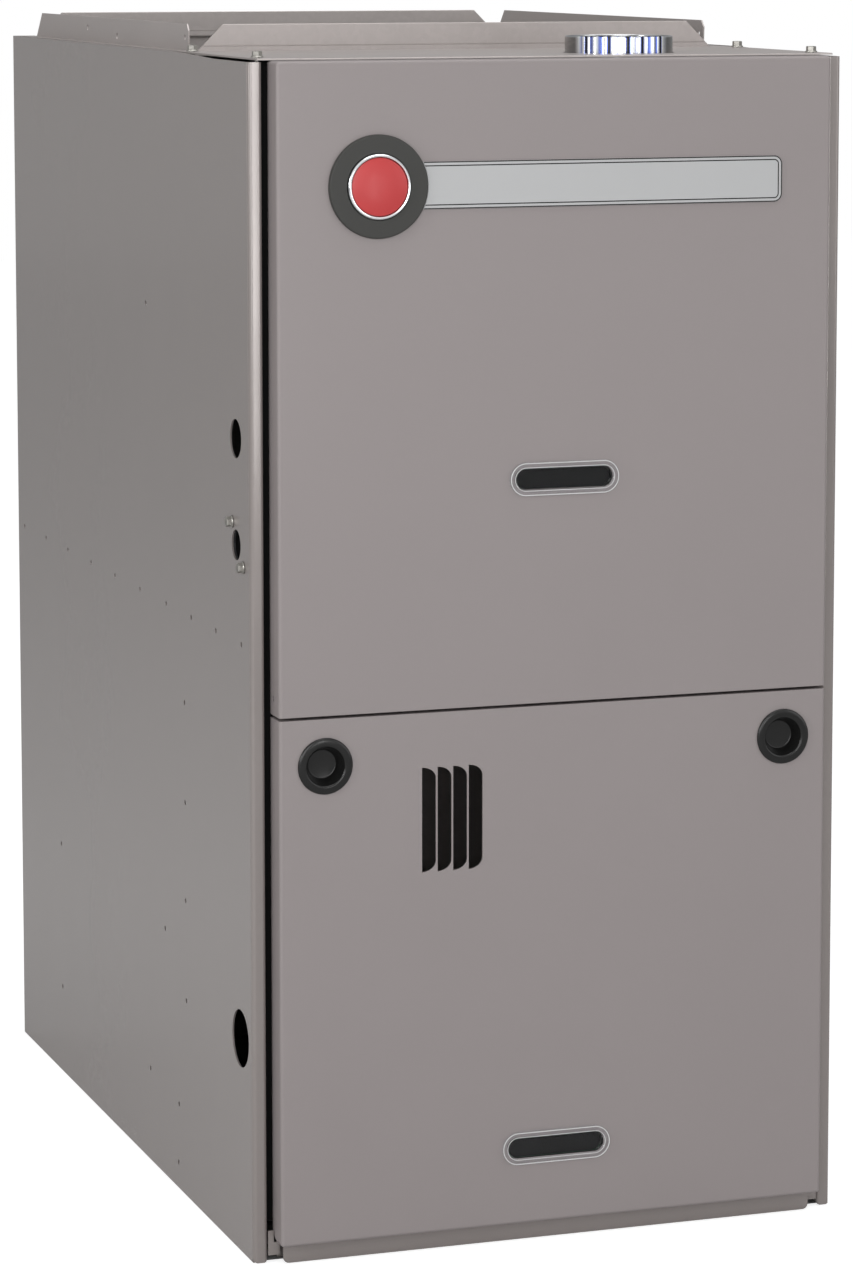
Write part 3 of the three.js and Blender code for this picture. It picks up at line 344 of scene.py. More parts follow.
def soften(bm: BMesh, edges: list[BMEdge], width: float, segments: int = 3) -> None:
    """Rounds edges.

    Args:
        bm: Mesh that holds the edges.
        edges: Edges to round.
        width: Radius of the rounding.
        segments: Faces across it.
    """
    bmesh.ops.bevel(
        bm,
        geom=edges,
        offset=width,
        offset_type="OFFSET",
        affect="EDGES",
        segments=segments,
        profile=0.5,
        material=-1,
        clamp_overlap=True,
    )


def sharp_edges(bm: BMesh, least: float = 30) -> list[BMEdge]:
    """Edges at which two faces meet at a clear angle.

    Args:
        bm: Mesh to look through.
        least: Smallest angle, in degrees.

    Returns:
        The edges found.
    """
    bm.normal_update()
    limit = math.radians(least)
    inner = [edge for edge in bm.edges if len(edge.link_faces) == 2]
    return [edge for edge in inner if edge.calc_face_angle(0) > limit]


def turned(bm: BMesh, axis: Axis, centre: Point2, profile: list[Point2], steps: int) -> None:
    """Adds a solid of revolution.

    Args:
        bm: Mesh that takes it.
        axis: Axis it is turned about.
        centre: Place of the axis in the drawing plane.
        profile: Radius and distance along the axis of each corner, in order. Its ends are
            joined unless both lie on the axis.
        steps: Faces round the full turn.
    """
    hub = axis.place(*centre, 0)
    on_axis = profile[0][0] == 0 and profile[-1][0] == 0
    before = set(bm.verts)
    points = [hub + axis.radial * radius + axis.direction * along for radius, along in profile]
    edges = polyline(bm, points, closed=not on_axis)
    bmesh.ops.spin(
        bm,
        geom=verts_of(edges) + edges,
        cent=hub,
        axis=axis.direction,
        dvec=(0, 0, 0),
        angle=FULL_TURN,
        steps=steps,
        use_merge=True,
        use_duplicate=False,
    )
    fresh = [vert for vert in bm.verts if vert not in before]
    bmesh.ops.remove_doubles(bm, verts=fresh, dist=WELD)
    faces = list({face for vert in bm.verts if vert not in before for face in vert.link_faces})
    bmesh.ops.recalc_face_normals(bm, faces=faces)


def box(bm: BMesh, low: Point3, high: Point3) -> list[BMFace]:
    """Adds a block between two corners.

    Args:
        bm: Mesh that takes it.
        low: Lowest corner.
        high: Highest corner.

    Returns:
        The block's faces.
    """
    size = [b - a for a, b in zip(low, high)]
    middle = [(a + b) / 2 for a, b in zip(low, high)]
    matrix = Matrix.Translation(middle) @ Matrix.Diagonal((*size, 1))
    made = bmesh.ops.create_cube(bm, size=1, matrix=matrix)
    return list({face for vert in made["verts"] for face in vert.link_faces})


def folded(points: list[Point2], radii: float | tuple[float, ...], steps: int = 4) -> list[Point2]:
    """Rounds the corners of an open polyline.

    Args:
        points: Its corners.
        radii: Radius of every fold, or one radius for each.
        steps: Chords in each rounded corner.

    Returns:
        The polyline with its corners rounded.
    """
    each = radii if isinstance(radii, tuple) else (radii,) * (len(points) - 2)
    result = [points[0]]
    for before, spot, after, radius in zip(points, points[1:], points[2:], each):
        corner = Vector(spot)
        start, end = Vector(before) - corner, Vector(after) - corner
        half_angle = start.angle(end) / 2
        reach = radius / math.tan(half_angle)
        first = corner + start.normalized() * reach
        last = corner + end.normalized() * reach
        centre_way = (start.normalized() + end.normalized()).normalized()
        centre = corner + centre_way * (radius / math.sin(half_angle))
        from_centre = first - centre
        sweep = from_centre.angle_signed(last - centre)
        for step in range(steps + 1):
            turn = Matrix.Rotation(-sweep * step / steps, 2)
            result.append(tuple(centre + turn @ from_centre))
    result.append(points[-1])
    return result


def strip(bm: BMesh, axis: Axis, drawing: list[Point2], start: float, end: float) -> list[BMFace]:
    """Adds a sheet that follows a drawing and runs straight along an axis.

    Args:
        bm: Mesh that takes it.
        axis: Axis the sheet runs along.
        drawing: Edge-on outline in the axis's drawing plane.
        start: Where it begins on the axis.
        end: Where it ends.

    Returns:
        The sheet's faces.
    """
    edges = polyline(bm, [axis.place(u, v, start) for u, v in drawing])
    made = bmesh.ops.extrude_edge_only(bm, edges=edges)["geom"]
    bmesh.ops.translate(bm, verts=of_kind(made, BMVert), vec=axis.direction * (end - start))
    return of_kind(made, BMFace)


# ------------------------------------------------------------------------------ node helpers

NODE_STEP = 220


class Board:
    """The nodes of a material, a world or a group, added from left to right."""

    def __init__(self, tree: NodeTree) -> None:
        """Takes the tree to build in.

        Args:
            tree: Node tree of a material, a world or a group.
        """
        self.tree = tree
        self.count = 0

    def feed(self, socket: NodeSocket, value: object) -> None:
        """Gives an input what it reads.

        Args:
            socket: The input.
            value: Output to link, or a number, vector or colour to set.
        """
        if isinstance(value, NodeSocket):
            self.tree.links.new(value, socket)
        else:
            socket.default_value = (*value, 1) if socket.type == "RGBA" else value

    def add(self, kind: str, inputs: Inputs | None = None, **settings: object) -> Node:
        """Adds a node.

        Args:
            kind: Type name of the node.
            inputs: What its inputs read, by name or number.
            **settings: Attributes of the node.

        Returns:
            The new node.
        """
        node = self.tree.nodes.new(kind)
        node.location = (NODE_STEP * self.count, 0)
        self.count += 1
        for name, value in settings.items():
            setattr(node, name, value)
        for key, value in (inputs or {}).items():
            self.feed(node.inputs[key], value)
        return node

    def place(self) -> NodeSocket:
        """Adds the coordinates in the object's own frame."""
        return self.add("ShaderNodeTexCoord").outputs["Object"]

    def noise(self, vector: NodeSocket, scale: float, detail: float = 2) -> NodeSocket:
        """Adds a noise texture.

        Args:
            vector: Coordinates it reads.
            scale: Its scale, per metre.
            detail: Octaves of detail.

        Returns:
            Its value between 0 and 1.
        """
        inputs = {"Vector": vector, "Scale": scale, "Detail": detail}
        return self.add("ShaderNodeTexNoise", inputs).outputs["Fac"]

    def math(self, operation: str, first: object, second: object = 0.0) -> NodeSocket:
        """Adds a sum of two values, each a socket or a number."""
        node = self.add("ShaderNodeMath", {0: first, 1: second}, operation=operation)
        return node.outputs["Value"]

    def swing(self, value: NodeSocket, amount: object) -> NodeSocket:
        """Adds a value's distance from 0.5, times an amount."""
        return self.math("MULTIPLY", self.math("SUBTRACT", value, 0.5), amount)

    def scale(self, vector: NodeSocket, size: NodeSocket) -> NodeSocket:
        """Adds coordinates or a colour, times a value."""
        node = self.add("ShaderNodeVectorMath", {0: vector, "Scale": size}, operation="SCALE")
        return node.outputs["Vector"]

    def mix(self, factor: object, first: object, second: object) -> NodeSocket:
        """Adds a blend of two colours, whose factor 0 gives the first."""
        inputs = {0: factor, 6: first, 7: second}
        return self.add("ShaderNodeMix", inputs, data_type="RGBA").outputs[2]

    def choose(self, factor: NodeSocket, first: NodeSocket, second: NodeSocket) -> NodeSocket:
        """Adds a blend of two shaders, whose factor 0 gives the first."""
        return self.add("ShaderNodeMixShader", {0: factor, 1: first, 2: second}).outputs["Shader"]

    def either_ray(self, first: str, second: str) -> NodeSocket:
        """Adds a value that is 1 for two kinds of light path."""
        rays = self.add("ShaderNodeLightPath").outputs
        return self.math("MAXIMUM", rays[f"Is {first} Ray"], rays[f"Is {second} Ray"])

    def spread(
        self, value: NodeSocket, low: float, high: float, to_low: float, to_high: float
    ) -> NodeSocket:
        """Adds a clamped change of range.

        Args:
            value: Value to map.
            low: Value that gives to_low.
            high: Value that gives to_high.
            to_low: Start of the new range.
            to_high: End of the new range.

        Returns:
            The mapped value.
        """
        inputs = {"Value": value, "From Min": low, "From Max": high}
        inputs |= {"To Min": to_low, "To Max": to_high}
        return self.add("ShaderNodeMapRange", inputs).outputs["Result"]

    def show(self, surface: NodeSocket, output: str = "ShaderNodeOutputMaterial") -> None:
        """Makes a shader the tree's result."""
        self.add(output, {"Surface": surface})


def blank_material(name: str) -> tuple[Material, Board]:
    """Starts a material that has no nodes yet.

    Args:
        name: Its name.

    Returns:
        The material and a board for its nodes.
    """
    material = bpy.data.materials.new(name)
    material.use_nodes = True
    material.node_tree.nodes.clear()
    return material, Board(material.node_tree)


class Effect(Enum):
    """A surface effect that several finishes share."""

    ORANGE_PEEL = "orange_peel"
    SPANGLE = "spangle"
    GRAIN = "moulded_grain"


def open_group(effect: Effect, inputs: dict[str, object]) -> tuple[Board, Node, Node]:
    """Starts a shader group with named inputs and the outputs that every effect has.

    Args:
        effect: The effect that it holds.
        inputs: Name and default of each input; a tuple is a colour.

    Returns:
        The board and the group's input and output nodes.
    """
    group = bpy.data.node_groups.new(effect.value, "ShaderNodeTree")
    for name, default in inputs.items():
        kind = "NodeSocketColor" if isinstance(default, tuple) else "NodeSocketFloat"
        socket = group.interface.new_socket(name=name, in_out="INPUT", socket_type=kind)
        socket.default_value = (*default, 1) if isinstance(default, tuple) else default
    for name, kind in (("Color", "Color"), ("Roughness", "Float"), ("Height", "Float")):
        group.interface.new_socket(name=name, in_out="OUTPUT", socket_type=f"NodeSocket{kind}")
    board = Board(group)
    return board, board.add("NodeGroupInput"), board.add("NodeGroupOutput")


def close_group(
    board: Board, result: Node, colour: NodeSocket, roughness: NodeSocket, height: NodeSocket
) -> NodeTree:
    """Links the three results of a shader group.

    Args:
        board: Board of the group.
        result: The group's output node.
        colour: Colour of the surface.
        roughness: Its roughness.
        height: Its relief.

    Returns:
        The finished group.
    """
    for name, value in (("Color", colour), ("Roughness", roughness), ("Height", height)):
        board.feed(result.inputs[name], value)
    return board.tree


def build_orange_peel() -> NodeTree:
    """Builds the group for sprayed and baked paint: a soft mottle over a fine pebbled skin."""
    board, source, result = open_group(
        Effect.ORANGE_PEEL,
        {"Paint": (0.3, 0.28, 0.27), "Mottle": 0.05, "Roughness": 0.45, "Pebble": 1.0},
    )
    given = source.outputs
    place = board.place()
    cloud = board.noise(place, 9, 3)
    pebble = board.noise(board.scale(place, given["Pebble"]), 900, 2)
    shade = board.math("ADD", board.math("SUBTRACT", cloud, 0.5), board.swing(pebble, 0.5))
    gain = board.math("ADD", board.math("MULTIPLY", shade, given["Mottle"]), 1)
    gloss = board.math("ADD", given["Roughness"], board.swing(cloud, 0.12))
    return close_group(board, result, board.scale(given["Paint"], gain), gloss, pebble)


def build_spangle() -> NodeTree:
    """Builds the group for coated steel: crystal cells, rolling streaks and a patchy sheen."""
    inputs = {"Light": (0.5, 0.5, 0.48), "Dark": (0.34, 0.34, 0.33)}
    inputs |= {"Roughness": 0.42, "Cell": 1.0, "Streak": 0.3}
    board, source, result = open_group(Effect.SPANGLE, inputs)
    given = source.outputs
    place = board.place()
    fine = {"Vector": board.scale(place, given["Cell"]), "Scale": 160}
    cells = board.add("ShaderNodeTexVoronoi", fine, feature="F1")
    grey = board.add("ShaderNodeSeparateColor", {"Color": cells.outputs["Color"]})
    cloud = board.noise(place, 14, 4)
    stretch = board.add("ShaderNodeMapping", {"Vector": place, "Scale": (500, 500, 6)})
    streak = board.noise(stretch.outputs["Vector"], 1, 2)
    flake = board.math("MULTIPLY", grey.outputs["Red"], 0.3)
    patch = board.math("ADD", flake, board.math("MULTIPLY", cloud, 0.7))
    factor = board.math("ADD", patch, board.swing(streak, given["Streak"]))
    blend = board.mix(factor, given["Dark"], given["Light"])
    sheen = board.math("ADD", given["Roughness"], board.swing(factor, 0.25))
    height = board.math("ADD", patch, board.math("MULTIPLY", streak, 0.3))
    return close_group(board, result, blend, sheen, height)


def build_grain() -> NodeTree:
    """Builds the group for moulded and cast surfaces: fine grain with faint flow marks."""
    board, source, result = open_group(
        Effect.GRAIN, {"Body": (0.02, 0.02, 0.02), "Variation": 0.2, "Roughness": 0.5, "Grain": 1.0}
    )
    given = source.outputs
    place = board.place()
    fine = board.noise(board.scale(place, given["Grain"]), 2600, 3)
    flow = board.noise(place, 40, 3)
    shade = board.math("ADD", board.math("MULTIPLY", fine, 0.5), board.math("MULTIPLY", flow, 0.5))
    gain = board.math("ADD", board.swing(shade, given["Variation"]), 1)
    gloss = board.math("ADD", given["Roughness"], board.swing(flow, 0.2))
    return close_group(board, result, board.scale(given["Body"], gain), gloss, fine)


BUILDERS = {
    Effect.ORANGE_PEEL: build_orange_peel,
    Effect.SPANGLE: build_spangle,
    Effect.GRAIN: build_grain,
}


def effect_group(effect: Effect) -> NodeTree:
    """Gives the shader group of an effect, built on first use."""
    return bpy.data.node_groups.get(effect.value) or BUILDERS[effect]()


# ------------------------------------------------------------------------------ finishes


@dataclass(frozen=True)
class Look:
    """A finish whose material is built on first use."""

    slot: str

    def material(self) -> Material:
        """Gives the finish's material."""
        name = f"finish_{self.slot}"
        material = bpy.data.materials.get(name)
        if not material:
            material, board = blank_material(name)
            board.show(self.shader(board))
        return material

    def shader(self, board: Board) -> NodeSocket:
        """Builds the shader; each kind of finish has its own."""
        raise NotImplementedError(board)


@dataclass(frozen=True)
class Finish(Look):
    """A finish made from one shared effect and a Principled shader."""

    effect: Effect
    inputs: tuple[tuple[str, object], ...]
    metallic: float = 0.0
    bump: float = 0.05
    bump_mm: float = 0.05
    coat: float = 0.0
    coat_roughness: float = 0.12
    specular: float = 0.5

    def shader(self, board: Board) -> NodeSocket:
        """Builds the shader.

        Args:
            board: Board of the material.

        Returns:
            The shader's output.
        """
        group = board.add(
            "ShaderNodeGroup", dict(self.inputs), node_tree=effect_group(self.effect)
        ).outputs
        relief = {"Strength": self.bump, "Distance": self.bump_mm * MM, "Height": group["Height"]}
        inputs = {
            "Metallic": self.metallic,
            "Coat Weight": self.coat,
            "Coat Roughness": self.coat_roughness,
            "Specular IOR Level": self.specular,
            "Base Color": group["Color"],
            "Roughness": group["Roughness"],
            "Normal": board.add("ShaderNodeBump", relief).outputs["Normal"],
        }
        return board.add("ShaderNodeBsdfPrincipled", inputs).outputs["BSDF"]


@dataclass(frozen=True)
class BrightSteel(Look):
    """Polished steel whose colour carries painted reflection: bluish, then dark, in the valleys of
    its flutes, and dark on the sides that the mesh marks.
    """

    slot: str = "bright_steel"
    ridge: Colour = (0.86, 0.88, 0.9)
    # painted reflection colours: bluish and dark for the flute valleys, dark for the marked sides
    painted_blue_reflection: Colour = (0.16, 0.22, 0.62)
    painted_valley_reflection: Colour = (0.03, 0.03, 0.035)
    painted_dark_sides: Colour = (0.1, 0.098, 0.092)
    roughness: float = 0.12

    def shader(self, board: Board) -> NodeSocket:
        """Builds the shader; the mesh's two marks paint reflection into the colour, bluish and dark
        in the flute valleys and dark on the marked sides.

        Args:
            board: Board of the material.

        Returns:
            The shader's output.
        """
        brushed = board.noise(board.place(), 700, 3)
        painted_valley_reflection, painted_dark_sides = (
            board.add("ShaderNodeAttribute", attribute_name=name).outputs["Fac"]
            for name in ("painted_valley_reflection", "painted_dark_sides")
        )
        # painted reflection: the valleys go bluish, then dark, and the marked sides go dark
        depth = board.math("MULTIPLY", painted_valley_reflection, board.spread(brushed, 0.3, 0.7, 0.9, 1))
        blue_reflected = board.mix(board.spread(depth, 0.05, 0.4, 0, 1), self.ridge, self.painted_blue_reflection)
        fluted = board.mix(board.spread(depth, 0.45, 0.75, 0, 1), blue_reflected, self.painted_valley_reflection)
        inputs = {
            "Metallic": 1.0,
            "Base Color": board.mix(painted_dark_sides, fluted, self.painted_dark_sides),
            "Roughness": board.spread(brushed, 0.3, 0.7, self.roughness, self.roughness + 0.1),
        }
        return board.add("ShaderNodeBsdfPrincipled", inputs).outputs["BSDF"]


@dataclass(frozen=True)
class ClearLens(Look):
    """Moulded clear plastic that lets diffuse and shadow rays straight through."""

    slot: str = "clear_lens"
    colour: Colour = (0.93, 0.94, 0.95)
    index: float = 1.22
    bump: float = 0.03
    bump_mm: float = 0.02

    def shader(self, board: Board) -> NodeSocket:
        """Builds the shader.

        Args:
            board: Board of the material.

        Returns:
            The shader's output.
        """
        ripple = board.noise(board.place(), 160, 2)
        relief = {"Strength": self.bump, "Distance": self.bump_mm * MM, "Height": ripple}
        inputs = {
            "Base Color": self.colour,
            "IOR": self.index,
            "Transmission Weight": 1.0,
            "Roughness": board.spread(ripple, 0.3, 0.7, 0.03, 0.08),
            "Normal": board.add("ShaderNodeBump", relief).outputs["Normal"],
        }
        glass = board.add("ShaderNodeBsdfPrincipled", inputs).outputs["BSDF"]
        clear = board.add("ShaderNodeBsdfTransparent", {"Color": self.colour}).outputs["BSDF"]
        return board.choose(board.either_ray("Shadow", "Diffuse"), glass, clear)


def painted(
    slot: str,
    colour: Colour,
    roughness: float,
    mottle: float = 0.05,
    coat: float = 0.0,
    metallic: float = 0.0,
) -> Finish:
    """Describes a sprayed paint.

    Args:
        slot: Material slot of the record.
        colour: Linear colour.
        roughness: Roughness of the skin.
        mottle: Strength of the colour's variation.
        coat: Weight of a clear coat.
        metallic: Share of metal flake.

    Returns:
        The finish.
    """
    inputs = (("Paint", colour), ("Mottle", mottle), ("Roughness", roughness))
    return Finish(slot, Effect.ORANGE_PEEL, inputs, metallic, bump=0.2, bump_mm=0.03, coat=coat)


def coated_steel(
    slot: str,
    light: Colour,
    dark: Colour,
    roughness: float,
    cell: float,
    streak: float,
    metallic: float = 0.75,
) -> Finish:
    """Describes bare coated steel.

    Args:
        slot: Material slot of the record.
        light: Linear colour of the bright crystals.
        dark: Linear colour of the darker crystals.
        roughness: Mean roughness.
        cell: Cells per unit, 1 being about 6 mm.
        streak: Strength of the rolling streaks.
        metallic: Metallic value.

    Returns:
        The finish.
    """
    inputs = (
        ("Light", light),
        ("Dark", dark),
        ("Roughness", roughness),
        ("Cell", cell),
        ("Streak", streak),
    )
    return Finish(slot, Effect.SPANGLE, inputs, metallic, bump=0.12, bump_mm=0.04)


def moulded(
    slot: str,
    colour: Colour,
    roughness: float,
    variation: float,
    metallic: float = 0.0,
    coat: float = 0.0,
    specular: float = 0.5,
) -> Finish:
    """Describes a moulded, cast or enamelled surface.

    Args:
        slot: Name of the finish, which is a material slot of the record or a look of its own.
        colour: Linear colour.
        roughness: Mean roughness.
        variation: Strength of the colour's variation.
        metallic: Metallic value.
        coat: Weight of a clear coat.
        specular: Strength of the plain reflection, 0.5 being that of common plastic.

    Returns:
        The finish.
    """
    inputs = (("Body", colour), ("Variation", variation), ("Roughness", roughness))
    return Finish(
        slot, Effect.GRAIN, inputs, metallic, bump=0.15, bump_mm=0.03, coat=coat, specular=specular
    )


FINISHES = {
    finish.slot: finish
    for finish in (
        painted("casing_paint", (0.298, 0.267, 0.256), 0.22, coat=0.4, metallic=0.3),
        painted("door_paint", (0.293, 0.261, 0.26), 0.5, coat=0.05, metallic=0.08),
        painted("dark_paint", (0.028, 0.028, 0.03), 0.42, 0.3),
        coated_steel("galvanised", (0.47, 0.43, 0.417), (0.39, 0.356, 0.344), 0.38, 1.6, 0.2, 0.3),
        coated_steel("aluminised", (0.42, 0.42, 0.4), (0.3, 0.3, 0.29), 0.5, 3, 0.15),
        coated_steel("zinc", (0.42, 0.41, 0.38), (0.26, 0.25, 0.23), 0.33, 4, 0.1),
        moulded("cast_aluminium", (0.4, 0.41, 0.42), 0.48, 0.3, 0.9),
        moulded("black_plastic", (0.009, 0.009, 0.0088), 0.22, 0.3, specular=0.38),
        moulded("ring_grey", (0.052, 0.052, 0.049), 0.5, 0.12, specular=0.25),
        moulded("red_enamel", (0.54, 0.04, 0.042), 0.38, 0.06, coat=0.05),
        moulded("silver_label", (0.475, 0.48, 0.485), 0.42, 0.06, 0.1),
        # pale lines on the lenses: painted highlight
        moulded("painted_edge_highlight", (0.68, 0.68, 0.68), 0.3, 0.06),
        # near black: painted shade behind the lenses, and the foam seals' black that also stands
        # for the shadow in their gaps
        moulded("dead_black", (0.004, 0.004, 0.004), 0.7, 0.06, specular=0.1),
        moulded("rubber", (0.014, 0.014, 0.014), 0.72, 0.4),
        moulded("circuit_board", (0.01, 0.09, 0.035), 0.4, 0.3),
        moulded("ceramic", (0.72, 0.68, 0.6), 0.7, 0.1),
        moulded("red_button", (0.36, 0.018, 0.014), 0.42, 0.1),
        BrightSteel(),
        ClearLens(),
    )
}


# ------------------------------------------------------------------------------ finished pieces


@dataclass(frozen=True)
class Piece:
    """What a finished mesh is called, what carries it, its slot and the nodes it stands for.

    The look names a finish that differs from the slot's own.
    """

    name: str
    slot: str
    body: str = "furnace"
    nodes: tuple[str, ...] = ()
    smooth: float = 35.0
    look: str = ""

    def finish(self, bm: BMesh) -> Object:
        """Turns a mesh in millimetres into a dressed object.

        Args:
            bm: The mesh; it is used up.

        Returns:
            The object, at the origin and riding on its body.
        """
        bmesh.ops.scale(bm, vec=(MM, MM, MM), verts=bm.verts)
        bm.normal_update()
        limit = math.radians(self.smooth)
        for edge in bm.edges:
            edge.smooth = edge.calc_face_angle(0) < limit
        for face in bm.faces:
            face.smooth = True
        mesh = bpy.data.meshes.new(self.name)
        bm.to_mesh(mesh)
        bm.free()
        mesh.materials.append(FINISHES[self.look or self.slot].material())
        piece = bpy.data.objects.new(self.name, mesh)
        bpy.context.scene.collection.objects.link(piece)
        flat = piece.modifiers.new("even_shading", "WEIGHTED_NORMAL")
        flat.keep_sharp = True
        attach(piece, self.body)
        if self.nodes:
            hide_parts(*self.nodes)
        log.info("%s: %d faces", self.name, len(mesh.polygons))
        return piece


# ------------------------------------------------------------------------------ casing


@dataclass
class SidePanel:
    """A folded side: skin, front flange with its return, rear flange, head ledge and foot."""

    side: int
    half_width: float = 224.5
    front: float = -337.5
    back: float = 361.5
    height: float = 860.0
    sheet: float = 1.2
    flange: float = 10.1
    flange_return: float = 12.0
    rear_flange: float = 19.0
    bend: float = 2.4
    front_bend: float = 2.8
    groove: float = 0.55
    groove_bend: float = 0.08
    fold_steps: int = 6
    headroom: float = 2.6
    slope_front: float = -250.0
    slope_back: float = -145.0
    corner: float = 3.0
    ledge: Point3 = (15.0, 16.0, 4.0)
    ledge_drop: float = 11.0
    foot: Point3 = (20.0, 30.0, 30.0)
    gap: float = 0.3
    holes: tuple[Point3, ...] = ()
    hole_sides: int = 40
    pilot_holes: tuple[Point2, ...] = ()
    pilot_radius: float = 2.0
    pilot_sides: int = 14
    screws: tuple[Point2, ...] = ()

    @property
    def name(self) -> str:
        """Name of the node that the panel stands for."""
        return "left_side_panel" if self.side < 0 else "right_side_panel"

    def profile(self) -> list[Point2]:
        """Gives the plan of the sheet's outer face, from the rear flange to the front return."""
        outer = self.side * self.half_width
        inner = self.side * (self.half_width - self.flange)
        rear = self.side * (self.half_width - self.rear_flange)
        corners = [(rear, self.back), (outer, self.back)]
        sunk, front = outer - self.side * self.groove, self.front
        start = front + self.front_bend + 0.3
        corners += [(outer, start + 1.1), (sunk, start + 0.8), (sunk, start + 0.4)]
        corners += [(outer, start + 0.1), (outer, front), (inner, front)]
        corners += [(inner, front + self.flange_return)]
        radii = (self.bend, *(self.groove_bend,) * 4, self.front_bend, self.bend)
        return folded(corners, radii, self.fold_steps)

    def skin(self, bm: BMesh, loop: list[BMVert]) -> None:
        """Fills the flat skin round its knock-outs, pilot holes and screw holes.

        Args:
            bm: Mesh that holds the folds.
            loop: The corners of the skin, in order round it.
        """
        outer = self.side * self.half_width
        edges = []
        for first, second in zip(loop, loop[1:] + loop[:1]):
            edges.append(bm.edges.get((first, second)) or bm.edges.new((first, second)))
        for y, z, radius in self.holes:
            edges += circle(bm, Axis.X, (y, z), outer, radius, self.hole_sides)
        for spot in self.screws:
            edges += circle(bm, Axis.X, spot, outer, SCREW_HOLE, SCREW_HOLE_SIDES)
        for spot in self.pilot_holes:
            edges += circle(bm, Axis.X, spot, outer, self.pilot_radius, self.pilot_sides)
        fill(bm, edges, Vector((self.side, 0, 0)))

    def build(self) -> Object:
        """Builds and dresses the panel."""
        bm = bmesh.new()
        plan = self.profile()
        skin_side = self.side * self.half_width
        on_skin = [index for index, (x, _) in enumerate(plan) if math.isclose(x, skin_side)]
        behind, ahead = plan[: on_skin[0] + 1], plan[on_skin[1] :]
        head = self.height - self.headroom
        strip(bm, Axis.Z, behind, 0, self.height)
        strip(bm, Axis.Z, ahead, 0, head)
        corners = [(behind[-1], 0.0), (ahead[0], 0.0), (ahead[0], head), (behind[-1], self.height)]
        loop = []
        for (x, y), z in corners:
            spot = Vector((x, y, z))
            loop.append(min(bm.verts, key=lambda vert: (vert.co - spot).length))
        slope = ((self.slope_front, head), (self.slope_back, self.height))
        loop[3:3] = [bm.verts.new((skin_side, *spot)) for spot in slope]
        self.skin(bm, loop)
        largest = max(bm.faces, key=lambda face: face.calc_area())
        face_way(bm, bm.faces[:], largest, Vector((self.side, 0, 0)))
        self.trim_flange(bm)
        thicken(bm, self.sheet)
        self.ledges(bm)
        return Piece(self.name, "casing_paint", nodes=(self.name,)).finish(bm)

    def trim_flange(self, bm: BMesh) -> None:
        """Rounds the front flange's two lower corners.

        Args:
            bm: Mesh of the sheet, before it has its thickness.
        """
        inner = self.half_width - self.flange
        cuts = []
        for corner, way in ((inner, -self.side), (self.half_width, self.side)):
            for degrees in (25, 65):
                turn = math.radians(degrees)
                slope = Vector((way * math.cos(turn), 0, -math.sin(turn)))
                middle = Vector((self.side * corner - way * self.corner, 0, self.corner))
                cuts.append((middle + slope * self.corner, slope))
        for point, normal in cuts:
            slice_through(bm, self.flange_faces(bm), point, normal, drop=False)
            beyond = [
                face
                for face in self.flange_faces(bm)
                if (face.calc_center_median() - point).dot(normal) > 1e-3
            ]
            bmesh.ops.delete(bm, geom=beyond, context="FACES")

    def flange_faces(self, bm: BMesh) -> list[BMFace]:
        """Finds the faces of the front flange and its return.

        Args:
            bm: Mesh of the sheet.

        Returns:
            The faces.
        """
        behind, outside = self.front + self.flange_return + 1, self.half_width - 0.1
        middles = [(face, face.calc_center_median()) for face in bm.faces]
        return [face for face, middle in middles if middle.y < behind and abs(middle.x) < outside]

    def ledges(self, bm: BMesh) -> None:
        """Adds the ledge that carries the top plate and the foot.

        Args:
            bm: Mesh that takes them.
        """
        inner = self.half_width - self.sheet - self.gap
        for shape, low in ((self.ledge, self.height - self.ledge_drop), (self.foot, 0)):
            reach, ahead, behind = shape
            x0, x1 = sorted((self.side * inner, self.side * (inner - reach)))
            box(bm, (x0, self.front + ahead, low), (x1, self.back - behind, low + self.sheet))


